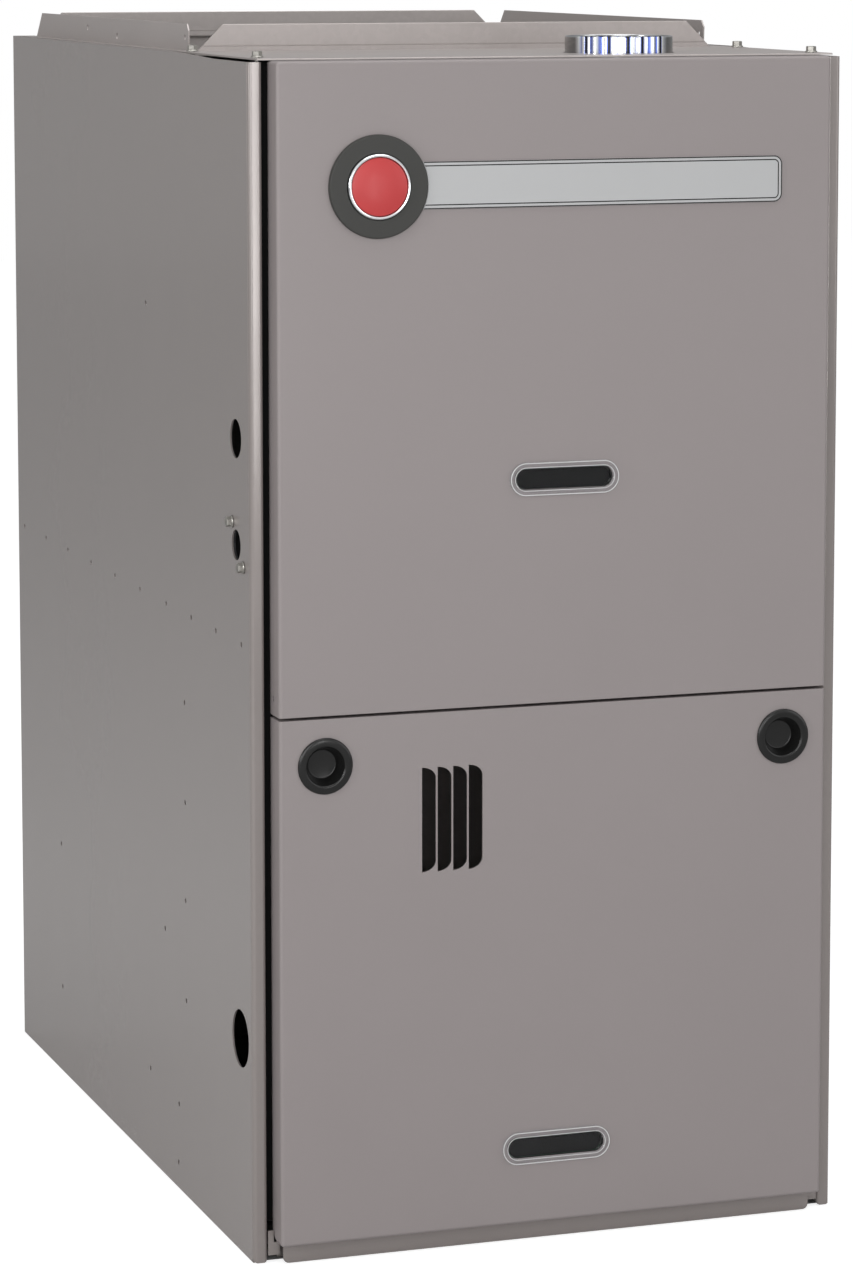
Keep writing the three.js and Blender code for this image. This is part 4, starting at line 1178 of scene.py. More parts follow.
@dataclass
class TopPlate:
    """The top sheet with its vent hole, air opening, duct flanges and front roll."""

    half_width: float = 218.0
    front: float = -337.5
    back: float = 359.95
    top: float = 859.88
    sheet: float = 1.2
    duct_half: float = 206.0
    duct_front: float = -138.0
    duct_back: float = 350.0
    rise: float = 19.6
    side_front: float = -122.0
    vent: Point2 = (78.0, -269.0)
    vent_radius: float = 40.35
    vent_sides: int = 64
    fold: float = 3.4
    roll: float = 1.1
    roll_sheet: float = 1.0
    lip_half: float = 205.0
    lip_face: float = -331.2
    lip_drop: float = 20.0
    rear_lip_drop: float = 14.0
    rear_gap: float = 0.35
    lap: float = 0.6
    sunk: float = 0.4
    hole_sides: int = 14
    flange_holes: tuple[Point3, ...] = (
        (176.5, 870.8, 2.4),
        (84.2, 866.0, 2.6),
        (-113.0, 869.5, 2.0),
    )
    screws: tuple[Point2, ...] = ()

    def build(self) -> Object:
        """Builds and dresses the top plate with its flanges."""
        bm = bmesh.new()
        edges = []
        for half, front, back in (
            (self.half_width, self.front + 3, self.back),
            (self.duct_half, self.duct_front, self.duct_back),
        ):
            outline = [(-half, front), (half, front), (half, back), (-half, back)]
            edges += polyline(bm, [Vector((*spot, self.top)) for spot in outline], closed=True)
        edges += circle(bm, Axis.Z, self.vent, self.top, self.vent_radius, self.vent_sides)
        for spot in self.screws:
            edges += circle(bm, Axis.Z, spot, self.top, SCREW_HOLE, SCREW_HOLE_SIDES)
        fill(bm, edges, Vector((0, 0, 1)))
        thicken(bm, self.sheet)
        self.front_roll(bm)
        self.flanges(bm)
        return Piece("top_plate", "galvanised", nodes=("top_plate",)).finish(bm)

    def front_roll(self, bm: BMesh) -> None:
        """Adds the front edge, rolled down behind the door's head, and the front and rear lips.

        Args:
            bm: Mesh that takes them.
        """
        front, top = self.front, self.top
        drawing = folded([(front + 3.2, top), (front, top), (front, top - 1.25)], self.roll, 4)
        faces = strip(bm, Axis.X, drawing, -self.half_width, self.half_width)
        face_way(bm, faces, faces[0], Vector((0, 0, 1)))
        thicken(bm, self.roll_sheet, faces)
        rear = self.back - 2 * self.sheet - self.rear_gap
        for y, drop in ((self.lip_face, self.lip_drop), (rear, self.rear_lip_drop)):
            high = (self.lip_half, y + self.sheet, top - self.lap)
            box(bm, (-self.lip_half, y, top - drop), high)

    def flanges(self, bm: BMesh) -> None:
        """Adds the four upturned flanges, their ends cut at 45 degrees; the two cross flanges have
        small chamfers on their crests.

        Args:
            bm: Mesh that takes them.
        """
        base, crest = self.top - self.sunk, self.top + self.rise
        for y in (self.duct_front, self.duct_back):
            self.cross_flange(bm, y, base, crest)
        back, front = self.duct_back - 1, self.side_front
        outline = [(front + 1, base), (back, base), (back - self.rise, crest)]
        outline += [(front + 4.5, crest), (front, crest - 5)]
        for x in (-self.duct_half, self.duct_half):
            self.side_flange(bm, outline, x)

    def cross_flange(self, bm: BMesh, y: float, base: float, crest: float) -> None:
        """Adds a flange across the plate: a fold line near its foot, both ends cut at 45 degrees.

        Args:
            bm: Mesh that takes it.
            y: Place of its middle plane.
            base: Lowest level.
            crest: Level of its crest.
        """
        front, rear = y - self.sheet / 2, y + self.sheet / 2
        fold, sunk = self.top + self.fold, front + 0.5
        drawing = [(front, base), (front, fold - 0.4), (sunk, fold - 0.2), (sunk, fold + 0.2)]
        drawing += [(front, fold + 0.4), (front, crest - 0.4), (front + 0.3, crest)]
        drawing += [(rear - 0.3, crest), (rear, crest - 0.4), (rear, base)]
        low = self.duct_half - 2
        known = set(bm.faces)
        edges = polyline(bm, [Axis.X.place(v, w, -low) for v, w in drawing], closed=True)
        push(bm, cap(bm, edges, Vector((-1, 0, 0))), Vector((2 * low, 0, 0)))
        bmesh.ops.recalc_face_normals(bm, faces=[face for face in bm.faces if face not in known])
        for side in (-1, 1):
            fresh = [face for face in bm.faces if face not in known]
            slope = Vector((side, 0, 1)).normalized()
            opened = slice_through(bm, fresh, Vector((side * low, y, self.top)), slope)
            bmesh.ops.holes_fill(bm, edges=opened, sides=0)

    def side_flange(self, bm: BMesh, drawing: list[Point2], middle: float) -> None:
        """Adds a flange along one side, with its small holes.

        Args:
            bm: Mesh that takes it.
            drawing: Its outline.
            middle: Place of its middle plane on X.
        """
        side = math.copysign(1, middle)
        outer = middle + side * self.sheet / 2
        edges = polyline(bm, [Axis.X.place(u, v, outer) for u, v in drawing], closed=True)
        for y, z, radius in self.flange_holes:
            edges += circle(bm, Axis.X, (y, z), outer, radius, self.hole_sides)
        thicken(bm, self.sheet, fill(bm, edges, Vector((side, 0, 0))))


@dataclass
class BaseRail:
    """The front base rail: a lip, a web, a leg behind it and a short tab set back at each end."""

    lip: float = -343.5
    lip_half: float = 204.4
    back: float = -325.8
    height: float = 26.0
    sheet: float = 1.2
    bend: float = 2.4
    corner: float = 4.0
    tab_inner: float = 205.0
    tab_neck: float = 207.4
    tab_gap: float = 209.8
    tab_outer: float = 213.9
    tab_face: float = -337.3
    tab_bottom: float = 5.0
    tab_shoulder: float = 14.4
    tab_head: float = 23.0

    def build(self) -> Object:
        """Builds and dresses the rail."""
        bm = bmesh.new()
        lip, back, height = self.lip, self.back, self.height
        drawing = folded([(lip, 0), (lip, height), (back, height), (back, 0)], self.bend, 4)
        faces = strip(bm, Axis.X, drawing, -self.lip_half, self.lip_half)
        top = max(faces, key=lambda face: face.calc_center_median().z)
        face_way(bm, faces, top, Vector((0, 0, 1)))
        self.round_corners(bm)
        thicken(bm, self.sheet)
        tab_back = self.tab_face + self.sheet
        neck = self.tab_neck
        box(bm, (-neck, self.tab_face, height - self.sheet), (neck, back - 2, height))
        for side in (-1, 1):
            for inner, outer, foot, head in (
                (self.tab_inner, neck, self.tab_bottom, height),
                (neck, self.tab_outer, self.tab_bottom, self.tab_shoulder),
                (self.tab_gap, self.tab_outer, self.tab_shoulder, self.tab_head),
            ):
                x0, x1 = sorted((side * inner, side * outer))
                box(bm, (x0, self.tab_face, foot), (x1, tab_back, head))
        return Piece("base_front_rail", "casing_paint", nodes=("base_front_rail",)).finish(bm)

    def round_corners(self, bm: BMesh) -> None:
        """Rounds the two lower corners of the lip.

        Args:
            bm: Mesh of the sheet, before it has its thickness.
        """
        low = [edge for edge in bm.edges if all(vert.co.z < 0.1 for vert in edge.verts)]
        on_lip = [edge for edge in low if edge.verts[0].co.y < self.lip + 1]
        bmesh.ops.bevel(
            bm,
            geom=[vert for edge in on_lip for vert in edge.verts],
            offset=self.corner,
            offset_type="OFFSET",
            affect="VERTICES",
            segments=4,
            profile=0.5,
            material=-1,
        )


# ------------------------------------------------------------------------------ doors


@dataclass
class DoorPan:
    """A folded door: a face with returns all round, rounded folds and holes cut in it."""

    name: str
    low: float
    high: float
    window: Point2
    window_size: Point2 = (75.4, 16.4)
    half_width: float = 209.2
    face: float = -355.0
    depth: float = 22.0
    sheet: float = 1.2
    bend: float = 2.4
    joint_bend: float = 0.5
    joint_below: bool = True
    fold_steps: int = 6
    side_hole: Point3 = (-340.6, 410.0, 2.2)
    side_hole_sides: int = 16
    cups: tuple[Point2, ...] = ()
    cup_radius: float = 17.95
    cup_sides: int = 48
    louvres: int = 0
    louvre_steps: int = 8
    louvre_left: float = -103.3
    louvre_pitch: float = 11.75
    louvre_width: float = 10.6
    louvre_low: float = 280.3
    louvre_high: float = 356.2
    louvre_fall: float = 8.0
    sill: float = 11.0
    mitre: float = 7.0
    mitre_reach: float = 30.0

    def build(self) -> Object:
        """Builds and dresses the door."""
        bm = bmesh.new()
        back = self.face + self.depth
        faces = box(bm, (-self.half_width, self.face, self.low), (self.half_width, back, self.high))
        bm.normal_update()
        rear = [face for face in faces if face.normal.y > 0.5]
        bmesh.ops.delete(bm, geom=rear, context="FACES_ONLY")
        rims = [edge for edge in bm.edges if len(edge.link_faces) == 2]
        joint = self.joint_edges(bm)
        soften(bm, [edge for edge in rims if edge not in joint], self.bend, self.fold_steps)
        soften(bm, self.joint_edges(bm), self.joint_bend)
        self.punch(bm)
        if self.joint_below:
            self.punch_side(bm)
        if self.louvres:
            self.notch(bm)
        thicken(bm, self.sheet)
        return Piece(self.name, "door_paint", self.name, (self.name,), smooth=40).finish(bm)

    def joint_edges(self, bm: BMesh) -> list[BMEdge]:
        """Finds the folded edges beside the other door, which bend more tightly.

        Args:
            bm: Mesh of the door.

        Returns:
            The edges.
        """
        level = self.low if self.joint_below else self.high
        rims = [edge for edge in bm.edges if len(edge.link_faces) == 2]
        return [edge for edge in rims if all(abs(vert.co.z - level) < NEAR for vert in edge.verts)]

    def punch(self, bm: BMesh) -> None:
        """Cuts the window, the pulls' holes and the louvre slots in the face.

        Args:
            bm: Mesh of the door.
        """
        edges = open_largest(bm, AHEAD)
        edges += obround(bm, Axis.Y, self.window, self.face, *self.window_size)
        for spot in self.cups:
            edges += circle(bm, Axis.Y, spot, self.face, self.cup_radius, self.cup_sides)
        for index in range(self.louvres):
            edges += polyline(bm, self.louvre(index), closed=True)
        fill(bm, edges, AHEAD)

    def punch_side(self, bm: BMesh) -> None:
        """Cuts the small hole in the left return.

        Args:
            bm: Mesh of the door.
        """
        leftwards = Vector((-1, 0, 0))
        y, z, radius = self.side_hole
        edges = open_largest(bm, leftwards)
        edges += circle(bm, Axis.X, (y, z), -self.half_width, radius, self.side_hole_sides)
        fill(bm, edges, leftwards)

    def louvre(self, index: int) -> list[Vector]:
        """Outline of one louvre slot: a straight left edge and a right edge with fallen corners.

        Args:
            index: Which slot, from the left.

        Returns:
            The outline's corners.
        """
        left = self.louvre_left + index * self.louvre_pitch
        low, high, width = self.louvre_low, self.louvre_high, self.louvre_width
        corner = []
        for step in range(self.louvre_steps + 1):
            turn = math.pi / 2 * step / self.louvre_steps
            fall = self.louvre_fall * (1 - math.cos(turn))
            corner.append((left + width * math.sin(turn), low + fall))
        mirrored = [(x, low + high - z) for x, z in reversed(corner)]
        return [Vector((x, self.face, z)) for x, z in corner + mirrored]

    def returns(self, bm: BMesh, level: float) -> list[BMFace]:
        """Finds the faces of the side returns, and of any return below a level.

        Args:
            bm: Mesh of the door.
            level: Height up to which all returns count.

        Returns:
            The faces.
        """
        return [
            face
            for face in bm.faces
            if face.normal.y > -0.9
            and (face.calc_center_median().z < level or abs(face.normal.x) > 0.3)
        ]

    def notch(self, bm: BMesh) -> None:
        """Shortens the bottom return and cuts the side returns back where they meet it.

        Args:
            bm: Mesh of the door.
        """
        low, back = self.low, self.face + self.depth
        bottom = [face for face in self.returns(bm, low + self.bend) if face.normal.z < -0.3]
        slice_through(bm, bottom, Vector((0, self.face + self.sill, low)), Vector((0, 1, 0)))
        slope = Vector((0, self.mitre, self.sill - self.depth)).normalized()
        sides = self.returns(bm, low + self.mitre_reach)
        slice_through(bm, sides, Vector((0, back, low + self.mitre)), slope)


@dataclass
class SightWindow:
    """A clear lens: a rounded flange on the door with a sunk view in its middle."""

    name: str
    body: str
    centre: Point2
    face: float = -355.35
    length: float = 83.4
    height: float = 24.4
    proud: float = 2.26
    view_length: float = 71.0
    view_height: float = 13.6
    socket: float = 4.6
    socket_depth: float = 4.1
    shade_depth: float = 4.3
    line_sunk: float = 0.2
    line_sheet: float = 0.3
    shade_margin: Point2 = (1.2, 1.0)
    shade_sheet: float = 0.2
    soft: float = 0.5
    sides: int = 48
    shade_sides: int = 40

    def build(self) -> Object:
        """Builds and dresses the lens."""
        bm = bmesh.new()
        edges = obround(
            bm, Axis.Y, self.centre, self.face, self.length, self.height, self.sides
        )
        front = push(bm, cap(bm, edges, -AHEAD), AHEAD * self.proud)
        rim = (self.height - self.view_height) / 2
        for reach, depth in ((rim - 1.1, 0.0), (0.4, -0.2), (0.5, 0.9), (0.4, 0.2)):
            bmesh.ops.inset_region(bm, faces=front, thickness=reach, depth=0)
            bmesh.ops.translate(bm, verts=verts_of(front), vec=(0, depth, 0))
        level = self.face - self.proud + NEAR
        sharp = sharp_edges(bm, 60)
        outer = [edge for edge in sharp if all(vert.co.y < level for vert in edge.verts)]
        soften(bm, outer, self.soft)
        bmesh.ops.recalc_face_normals(bm, faces=bm.faces[:])
        rear = max(bm.faces, key=lambda face: face.calc_center_median().y)
        bmesh.ops.inset_region(bm, faces=[rear], thickness=self.socket, depth=0)
        end = bmesh.ops.extrude_discrete_faces(bm, faces=[rear])["faces"]
        bmesh.ops.translate(bm, verts=verts_of(end), vec=(0, self.socket_depth, 0))
        self.shade()
        # two pale lines on the lens, painted highlights along its edges
        self.bright_line("outer_line", 0.45, 0.65)
        self.bright_line("inner_line", rim - 1.75, 0.5)
        return Piece(self.name, "clear_lens", self.body, (self.name,), smooth=28).finish(bm)

    def bright_line(self, tag: str, inset: float, width: float) -> None:
        """Builds a fine pale line that follows the lens's outline, a painted highlight along its
        edge.

        Args:
            tag: End of the piece's name.
            inset: Distance from the outline to the line's outer side.
            width: Width of the line.
        """
        bm = bmesh.new()
        edges = []
        front = self.face - self.proud - (self.line_sheet - self.line_sunk)
        for reach in (inset, inset + width):
            size = (self.length - 2 * reach, self.height - 2 * reach)
            edges += obround(bm, Axis.Y, self.centre, front, *size, self.sides)
        fill(bm, edges, AHEAD)
        thicken(bm, self.line_sheet)
        Piece(f"{self.name}_{tag}", "clear_lens", self.body, look="painted_edge_highlight").finish(bm)

    def shade(self) -> None:
        """Builds the black backing that keeps the view dark: painted shade standing in for the
        unlit inside behind the lens.
        """
        bm = bmesh.new()
        size = (self.view_length + self.shade_margin[0], self.view_height + self.shade_margin[1])
        front = self.face + self.shade_depth
        fill(bm, obround(bm, Axis.Y, self.centre, front, *size, self.shade_sides), AHEAD)
        thicken(bm, self.shade_sheet)
        Piece(f"{self.name}_shade", "rubber", self.body, look="dead_black").finish(bm)


@dataclass
class FingerPull:
    """A round pull: a broad satin rim and a cup that tapers in through the door."""

    name: str
    centre: Point2
    face: float = -355.35
    rim: float = 20.3
    mouth: float = 14.4
    neck: float = 17.3
    floor: float = 11.3
    proud: float = 1.8
    depth: float = 9.0
    wall: float = 1.4
    sides: int = 72

    def build(self) -> Object:
        """Builds and dresses the pull."""
        bm = bmesh.new()
        face, floor, mouth, rim = self.face, self.floor, self.mouth, self.rim
        front, inside, outside = face - self.proud, face + self.depth, face + self.depth + self.wall
        profile = [(0, inside), (floor - 1.6, inside - 0.1), (floor - 0.9, inside - 0.5)]
        profile += [(floor - 0.5, inside - 1.2), (mouth - 0.9, face + 0.6)]
        profile += [(mouth - 0.5, front + 1.1), (mouth - 0.1, front + 0.5)]
        profile += [(mouth + 0.5, front + 0.12), (mouth + 1.1, front)]
        profile += [(rim - 2.2, front + 0.1), (rim - 1.0, front + 0.35), (rim - 0.3, front + 0.8)]
        profile += [(rim, face - 0.3), (rim, face), (self.neck, face), (self.neck - 0.1, face + 3)]
        profile += [(floor + self.wall + 0.8, inside), (floor, outside), (0, outside)]
        turned(bm, Axis.Y, self.centre, profile, self.sides)
        return Piece(self.name, "black_plastic", "lower_door", (self.name,), smooth=40).finish(bm)


@dataclass
class DoorSeal:
    """A foam strip behind the gap between a side panel's flange and the doors; its near-black
    colour is partly painted shade, standing in for the shadow in that gap.
    """

    side: int
    outer: float = 213.0
    inner: float = 206.2
    front: float = -329.6
    back: float = -326.4
    low: float = 28.0
    high: float = 857.0
    soft: float = 0.8

    def build(self) -> Object:
        """Builds and dresses the strip."""
        bm = bmesh.new()
        x0, x1 = sorted((self.side * self.outer, self.side * self.inner))
        box(bm, (x0, self.front, self.low), (x1, self.back, self.high))
        soften(bm, bm.edges[:], self.soft, 2)
        name = "left_door_seal" if self.side < 0 else "right_door_seal"
        return Piece(name, "rubber", look="dead_black").finish(bm)


# ------------------------------------------------------------------------------ emblem


@dataclass
class Emblem:
    """A bare round emblem, a dark ring, bright rim and domed red disc, beside a plain strip."""

    centre: Point2 = (-135.5, 770.5)
    face: float = -355.35
    gap: float = 0.35
    ring: float = 36.5
    ring_proud: float = 3.0
    rim: float = 23.2
    rim_proud: float = 5.0
    disc: float = 20.4
    crown_proud: float = 6.1
    crown_steps: int = 10
    right: float = 170.7
    bottom: float = 754.0
    top: float = 787.3
    corner: float = 6.0
    ring_steps: int = 12
    corner_steps: int = 6
    strip_proud: float = 0.85
    line_proud: float = 0.9
    line_sheet: float = 0.1
    sides: int = 96

    def build(self) -> list[Object]:
        """Builds and dresses the four pieces and the strip's fine lines."""
        rounds = [
            self.turn("emblem_ring", "ring_grey", self.ring_profile()),
            self.turn("emblem_rim", "bright_steel", self.rim_profile()),
            self.turn("emblem_disc", "red_enamel", self.disc_profile()),
        ]
        return [*rounds, self.build_strip(), *self.build_lines()]

    def turn(self, name: str, slot: str, profile: list[Point2]) -> Object:
        """Turns a profile about the emblem's middle and dresses it.

        Args:
            name: Name of the piece and of the node that it stands for.
            slot: Material slot.
            profile: Radius and Y of each corner.

        Returns:
            The object.
        """
        bm = bmesh.new()
        turned(bm, Axis.Y, self.centre, profile, self.sides)
        return Piece(name, slot, "upper_door", (name,)).finish(bm)

    def ring_profile(self) -> list[Point2]:
        """Draws the dark ring."""
        face, seat, ring = self.face, self.rim + self.gap, self.ring
        front = face - self.ring_proud
        profile = [(seat, face), (seat, front + 0.4), (seat + 0.4, front), (ring - 1.6, front)]
        profile += [(ring - 0.7, front + 0.3), (ring - 0.15, front + 1.1)]
        return profile + [(ring, front + 2), (ring, face)]

    def rim_profile(self) -> list[Point2]:
        """Draws the bright rim."""
        face, seat, rim = self.face, self.disc + self.gap, self.rim
        front = face - self.rim_proud
        profile = [(seat, face), (seat, front + 0.9), (seat + 0.4, front + 0.3)]
        profile += [((seat + rim) / 2, front), (rim - 0.5, front + 0.4), (rim - 0.05, front + 1.2)]
        return profile + [(rim, front + 2), (rim, face)]

    def disc_profile(self) -> list[Point2]:
        """Draws the domed disc."""
        face, crown = self.face, self.face - self.crown_proud
        profile = [(0, face), (self.disc, face), (self.disc, crown + 2.2)]
        for step in range(self.crown_steps + 1):
            share = 1 - step / self.crown_steps
            profile.append((self.disc * share * 0.985, crown + 2 * share**2.4))
        return profile

    def strip_outline(self, bm: BMesh, inset: float, along: float) -> list[BMEdge]:
        """Adds the strip's outline, cut round the ring at its left end.

        Args:
            bm: Mesh that takes it.
            inset: How far inside the strip's own edge it runs.
            along: Its place on Y.

        Returns:
            The outline's edges.
        """
        x0, z0 = self.centre
        low, high, right = self.bottom + inset, self.top - inset, self.right - inset
        around = self.ring + self.gap + (0 if inset == 0 else 0.4)
        radius = max(self.corner - inset, 1.0)
        points = []
        start, end = math.asin((high - z0) / around), math.asin((low - z0) / around)
        for step in range(self.ring_steps + 1):
            angle = start + (end - start) * step / self.ring_steps
            points.append((x0 + around * math.cos(angle), z0 + around * math.sin(angle)))
        x = right - radius
        for z, first in ((low + radius, -90), (high - radius, 0)):
            for step in range(self.corner_steps + 1):
                angle = math.radians(first + 90 * step / self.corner_steps)
                points.append((x + radius * math.cos(angle), z + radius * math.sin(angle)))
        return polyline(bm, [Vector((x, along, z)) for x, z in points], closed=True)

    def build_strip(self) -> Object:
        """Builds the plain strip."""
        bm = bmesh.new()
        fill(bm, self.strip_outline(bm, 0, self.face - self.strip_proud), AHEAD)
        thicken(bm, self.strip_proud)
        return Piece("nameplate", "silver_label", "upper_door", ("nameplate",)).finish(bm)

    def build_lines(self) -> list[Object]:
        """Builds the two fine dark lines that run round the strip."""
        lines = []
        front = self.face - self.line_proud
        for tag, inset, width in (("outer", 0.05, 0.75), ("inner", 2.5, 0.8)):
            bm = bmesh.new()
            edges = self.strip_outline(bm, inset, front)
            edges += self.strip_outline(bm, inset + width, front)
            fill(bm, edges, AHEAD)
            thicken(bm, self.line_sheet)
            lines.append(Piece(f"nameplate_{tag}_line", "black_plastic", "upper_door").finish(bm))
        return lines


# ------------------------------------------------------------------------------ collar and screws


@dataclass
class VentCollar:
    """The short round collar on the top plate, its wall crimped into upright flutes."""

    centre: Point2 = (78.0, -269.0)
    radius: float = 39.4
    bottom: float = 834.0
    top: float = 872.0
    wall: float = 0.9
    flutes: int = 40
    steps: int = 8
    depth: float = 0.35
    facing: float = -107.0
    arc: float = 58.0
    arc_fade: float = 8.0

    def build(self) -> Object:
        """Builds and dresses the collar."""
        bm = bmesh.new()
        outer, inner, top = self.radius, self.radius - self.wall, self.top
        profile = [(outer, self.bottom), (outer, top - 1.1), (outer - 0.2, top - 0.3)]
        profile += [(outer - 0.45, top), (outer - 0.75, top - 0.3), (inner, top - 1.1)]
        turned(bm, Axis.Z, self.centre, profile + [(inner, self.bottom)], self.flutes * self.steps)
        self.crimp(bm)
        return Piece("vent_collar", "bright_steel", nodes=("vent_collar",), smooth=60).finish(bm)

    def crimp(self, bm: BMesh) -> None:
        """Presses the flutes in at the front and marks where reflection is painted: bluish and dark
        in the valleys on the front, dark away from the front.

        Args:
            bm: Mesh of the plain collar.
        """
        painted_valley_reflection = bm.verts.layers.float.new("painted_valley_reflection")
        painted_dark_sides = bm.verts.layers.float.new("painted_dark_sides")
        middle = Vector((*self.centre, 0))
        for vert in bm.verts:
            flat = Vector((vert.co.x, vert.co.y, 0)) - middle
            angle = math.atan2(flat.y, flat.x)
            off = abs((math.degrees(angle) - self.facing + 180) % 360 - 180)
            fade = max(0.0, min(1.0, (self.arc - off) / self.arc_fade))
            sway = 1.1 * math.sin(5 * angle + 0.6) + 0.9 * math.sin(13 * angle + 2)
            wave = math.cos(self.flutes * angle + sway)
            vert.co -= flat.normalized() * self.depth * fade * (0.5 - 0.5 * wave)
            strength = 0.6 + 0.4 * math.sin(17 * angle + 1.0)
            # painted reflection marks: the valleys on the front arc, and the parts away from the
            # front
            vert[painted_valley_reflection] = max(0.0, min(1.0, (0.3 - wave) * 1.4)) * strength * fade
            vert[painted_dark_sides] = (1 - fade) * (0.85 if vert.co.z < self.top - 1 else 0.3)


@dataclass
class HexScrew:
    """A hex washer-head screw."""

    name: str
    axis: Axis
    centre: Point2
    seat: float
    sense: int
    washer: float = 4.5
    head: float = 3.7
    head_base: float = 1.4
    head_height: float = 3.3
    shank: float = 1.9
    shank_reach: float = 8.0
    chamfer: float = 0.5
    dish: Point2 = (1.0, 0.4)
    sides: tuple[int, int] = (28, 12)

    def build(self) -> Object:
        """Builds and dresses the screw."""
        bm = bmesh.new()
        rounds = (
            (
                (0, 0.3),
                (self.washer, 0.35),
                (self.washer, 0.9),
                (self.washer - 0.4, 1.35),
                (self.head * 0.8, 1.6),
                (0, 1.6),
            ),
            (
                (0, 0.4),
                (self.shank, 0.4),
                (self.shank, -self.shank_reach),
                (0, -self.shank_reach - 1),
            ),
        )
        for drawing, steps in zip(rounds, self.sides):
            profile = [(radius, self.seat + self.sense * rise) for radius, rise in drawing]
            turned(bm, self.axis, self.centre, profile, steps)
        base = self.seat + self.sense * self.head_base
        edges = circle(bm, self.axis, self.centre, base, self.head, 6)
        away = self.axis.direction * self.sense
        self.crown(bm, push(bm, cap(bm, edges, -away), away * self.head_height), away)
        return Piece(self.name, "zinc", nodes=(self.name,)).finish(bm)

    def crown(self, bm: BMesh, ends: list[BMFace], away: Vector) -> None:
        """Chamfers the head's crown and sinks its middle a little.

        Args:
            bm: Mesh of the screw.
            ends: The head's end face.
            away: Direction the head looks.
        """
        soften(bm, edges_of(ends), self.chamfer, 2)
        bm.normal_update()
        level = max(face.calc_center_median().dot(away) for face in bm.faces)
        flat = [face for face in bm.faces if face.calc_center_median().dot(away) > level - NEAR]
        rim, depth = self.dish
        bmesh.ops.inset_region(bm, faces=flat, thickness=rim, depth=0)
        bmesh.ops.translate(bm, verts=verts_of(flat), vec=-away * depth)


# ------------------------------------------------------------------------------ carried-over nodes


def dress_nodes() -> None:
    """Gives every node that still shows the full finish of its slot."""
    for row in frame["record"]["subparts"]:
        node = frame["nodes"][row["node"]]
        if node.hide_render:
            continue
        material = FINISHES[row["material_slot"]].material()
        for holder in node.material_slots:
            holder.material = material


# ------------------------------------------------------------------------------ studio


@dataclass(frozen=True)
class Lamp:
    """A soft rectangular lamp; lengths are metres and power is in watts."""

    name: str
    place: Point3
    goal: Point3
    size: Point2
    power: float
    gloss_only: bool = False

    def hang(self) -> None:
        """Hangs the lamp, turned to its goal."""
        data = bpy.data.lights.new(self.name, "AREA")
        data.shape = "RECTANGLE"
        data.size, data.size_y = self.size
        data.energy = self.power
        lamp = bpy.data.objects.new(self.name, data)
        bpy.context.scene.collection.objects.link(lamp)
        lamp.location = self.place
        lamp.rotation_mode = "QUATERNION"
        way = Vector(self.goal) - Vector(self.place)
        lamp.rotation_quaternion = way.to_track_quat("-Z", "Y")
        if self.gloss_only:
            lamp.visible_diffuse = False
            lamp.visible_transmission = False


LAMPS = (
    Lamp("key_lamp", (-1.4, -3.4, 1.35), (0, 0, 0.3), (2.2, 2.2), 43),
    Lamp("side_lamp", (-2.9, -1.15, 1.25), (-0.2, -0.2, 0.7), (0.4, 0.9), 20),
    Lamp("edge_lamp", (0.38, -2.6, 0.66), (-0.22, -0.34, 0.66), (0.2, 0.75), 3.4, gloss_only=True),
    Lamp("fill_lamp", (2.6, -2.6, 1.4), (0, 0, 0.45), (1.8, 2.4), 15),
    Lamp("top_lamp", (0.2, -0.4, 2.8), (0, -0.1, 0.6), (2.0, 1.4), 20),
)


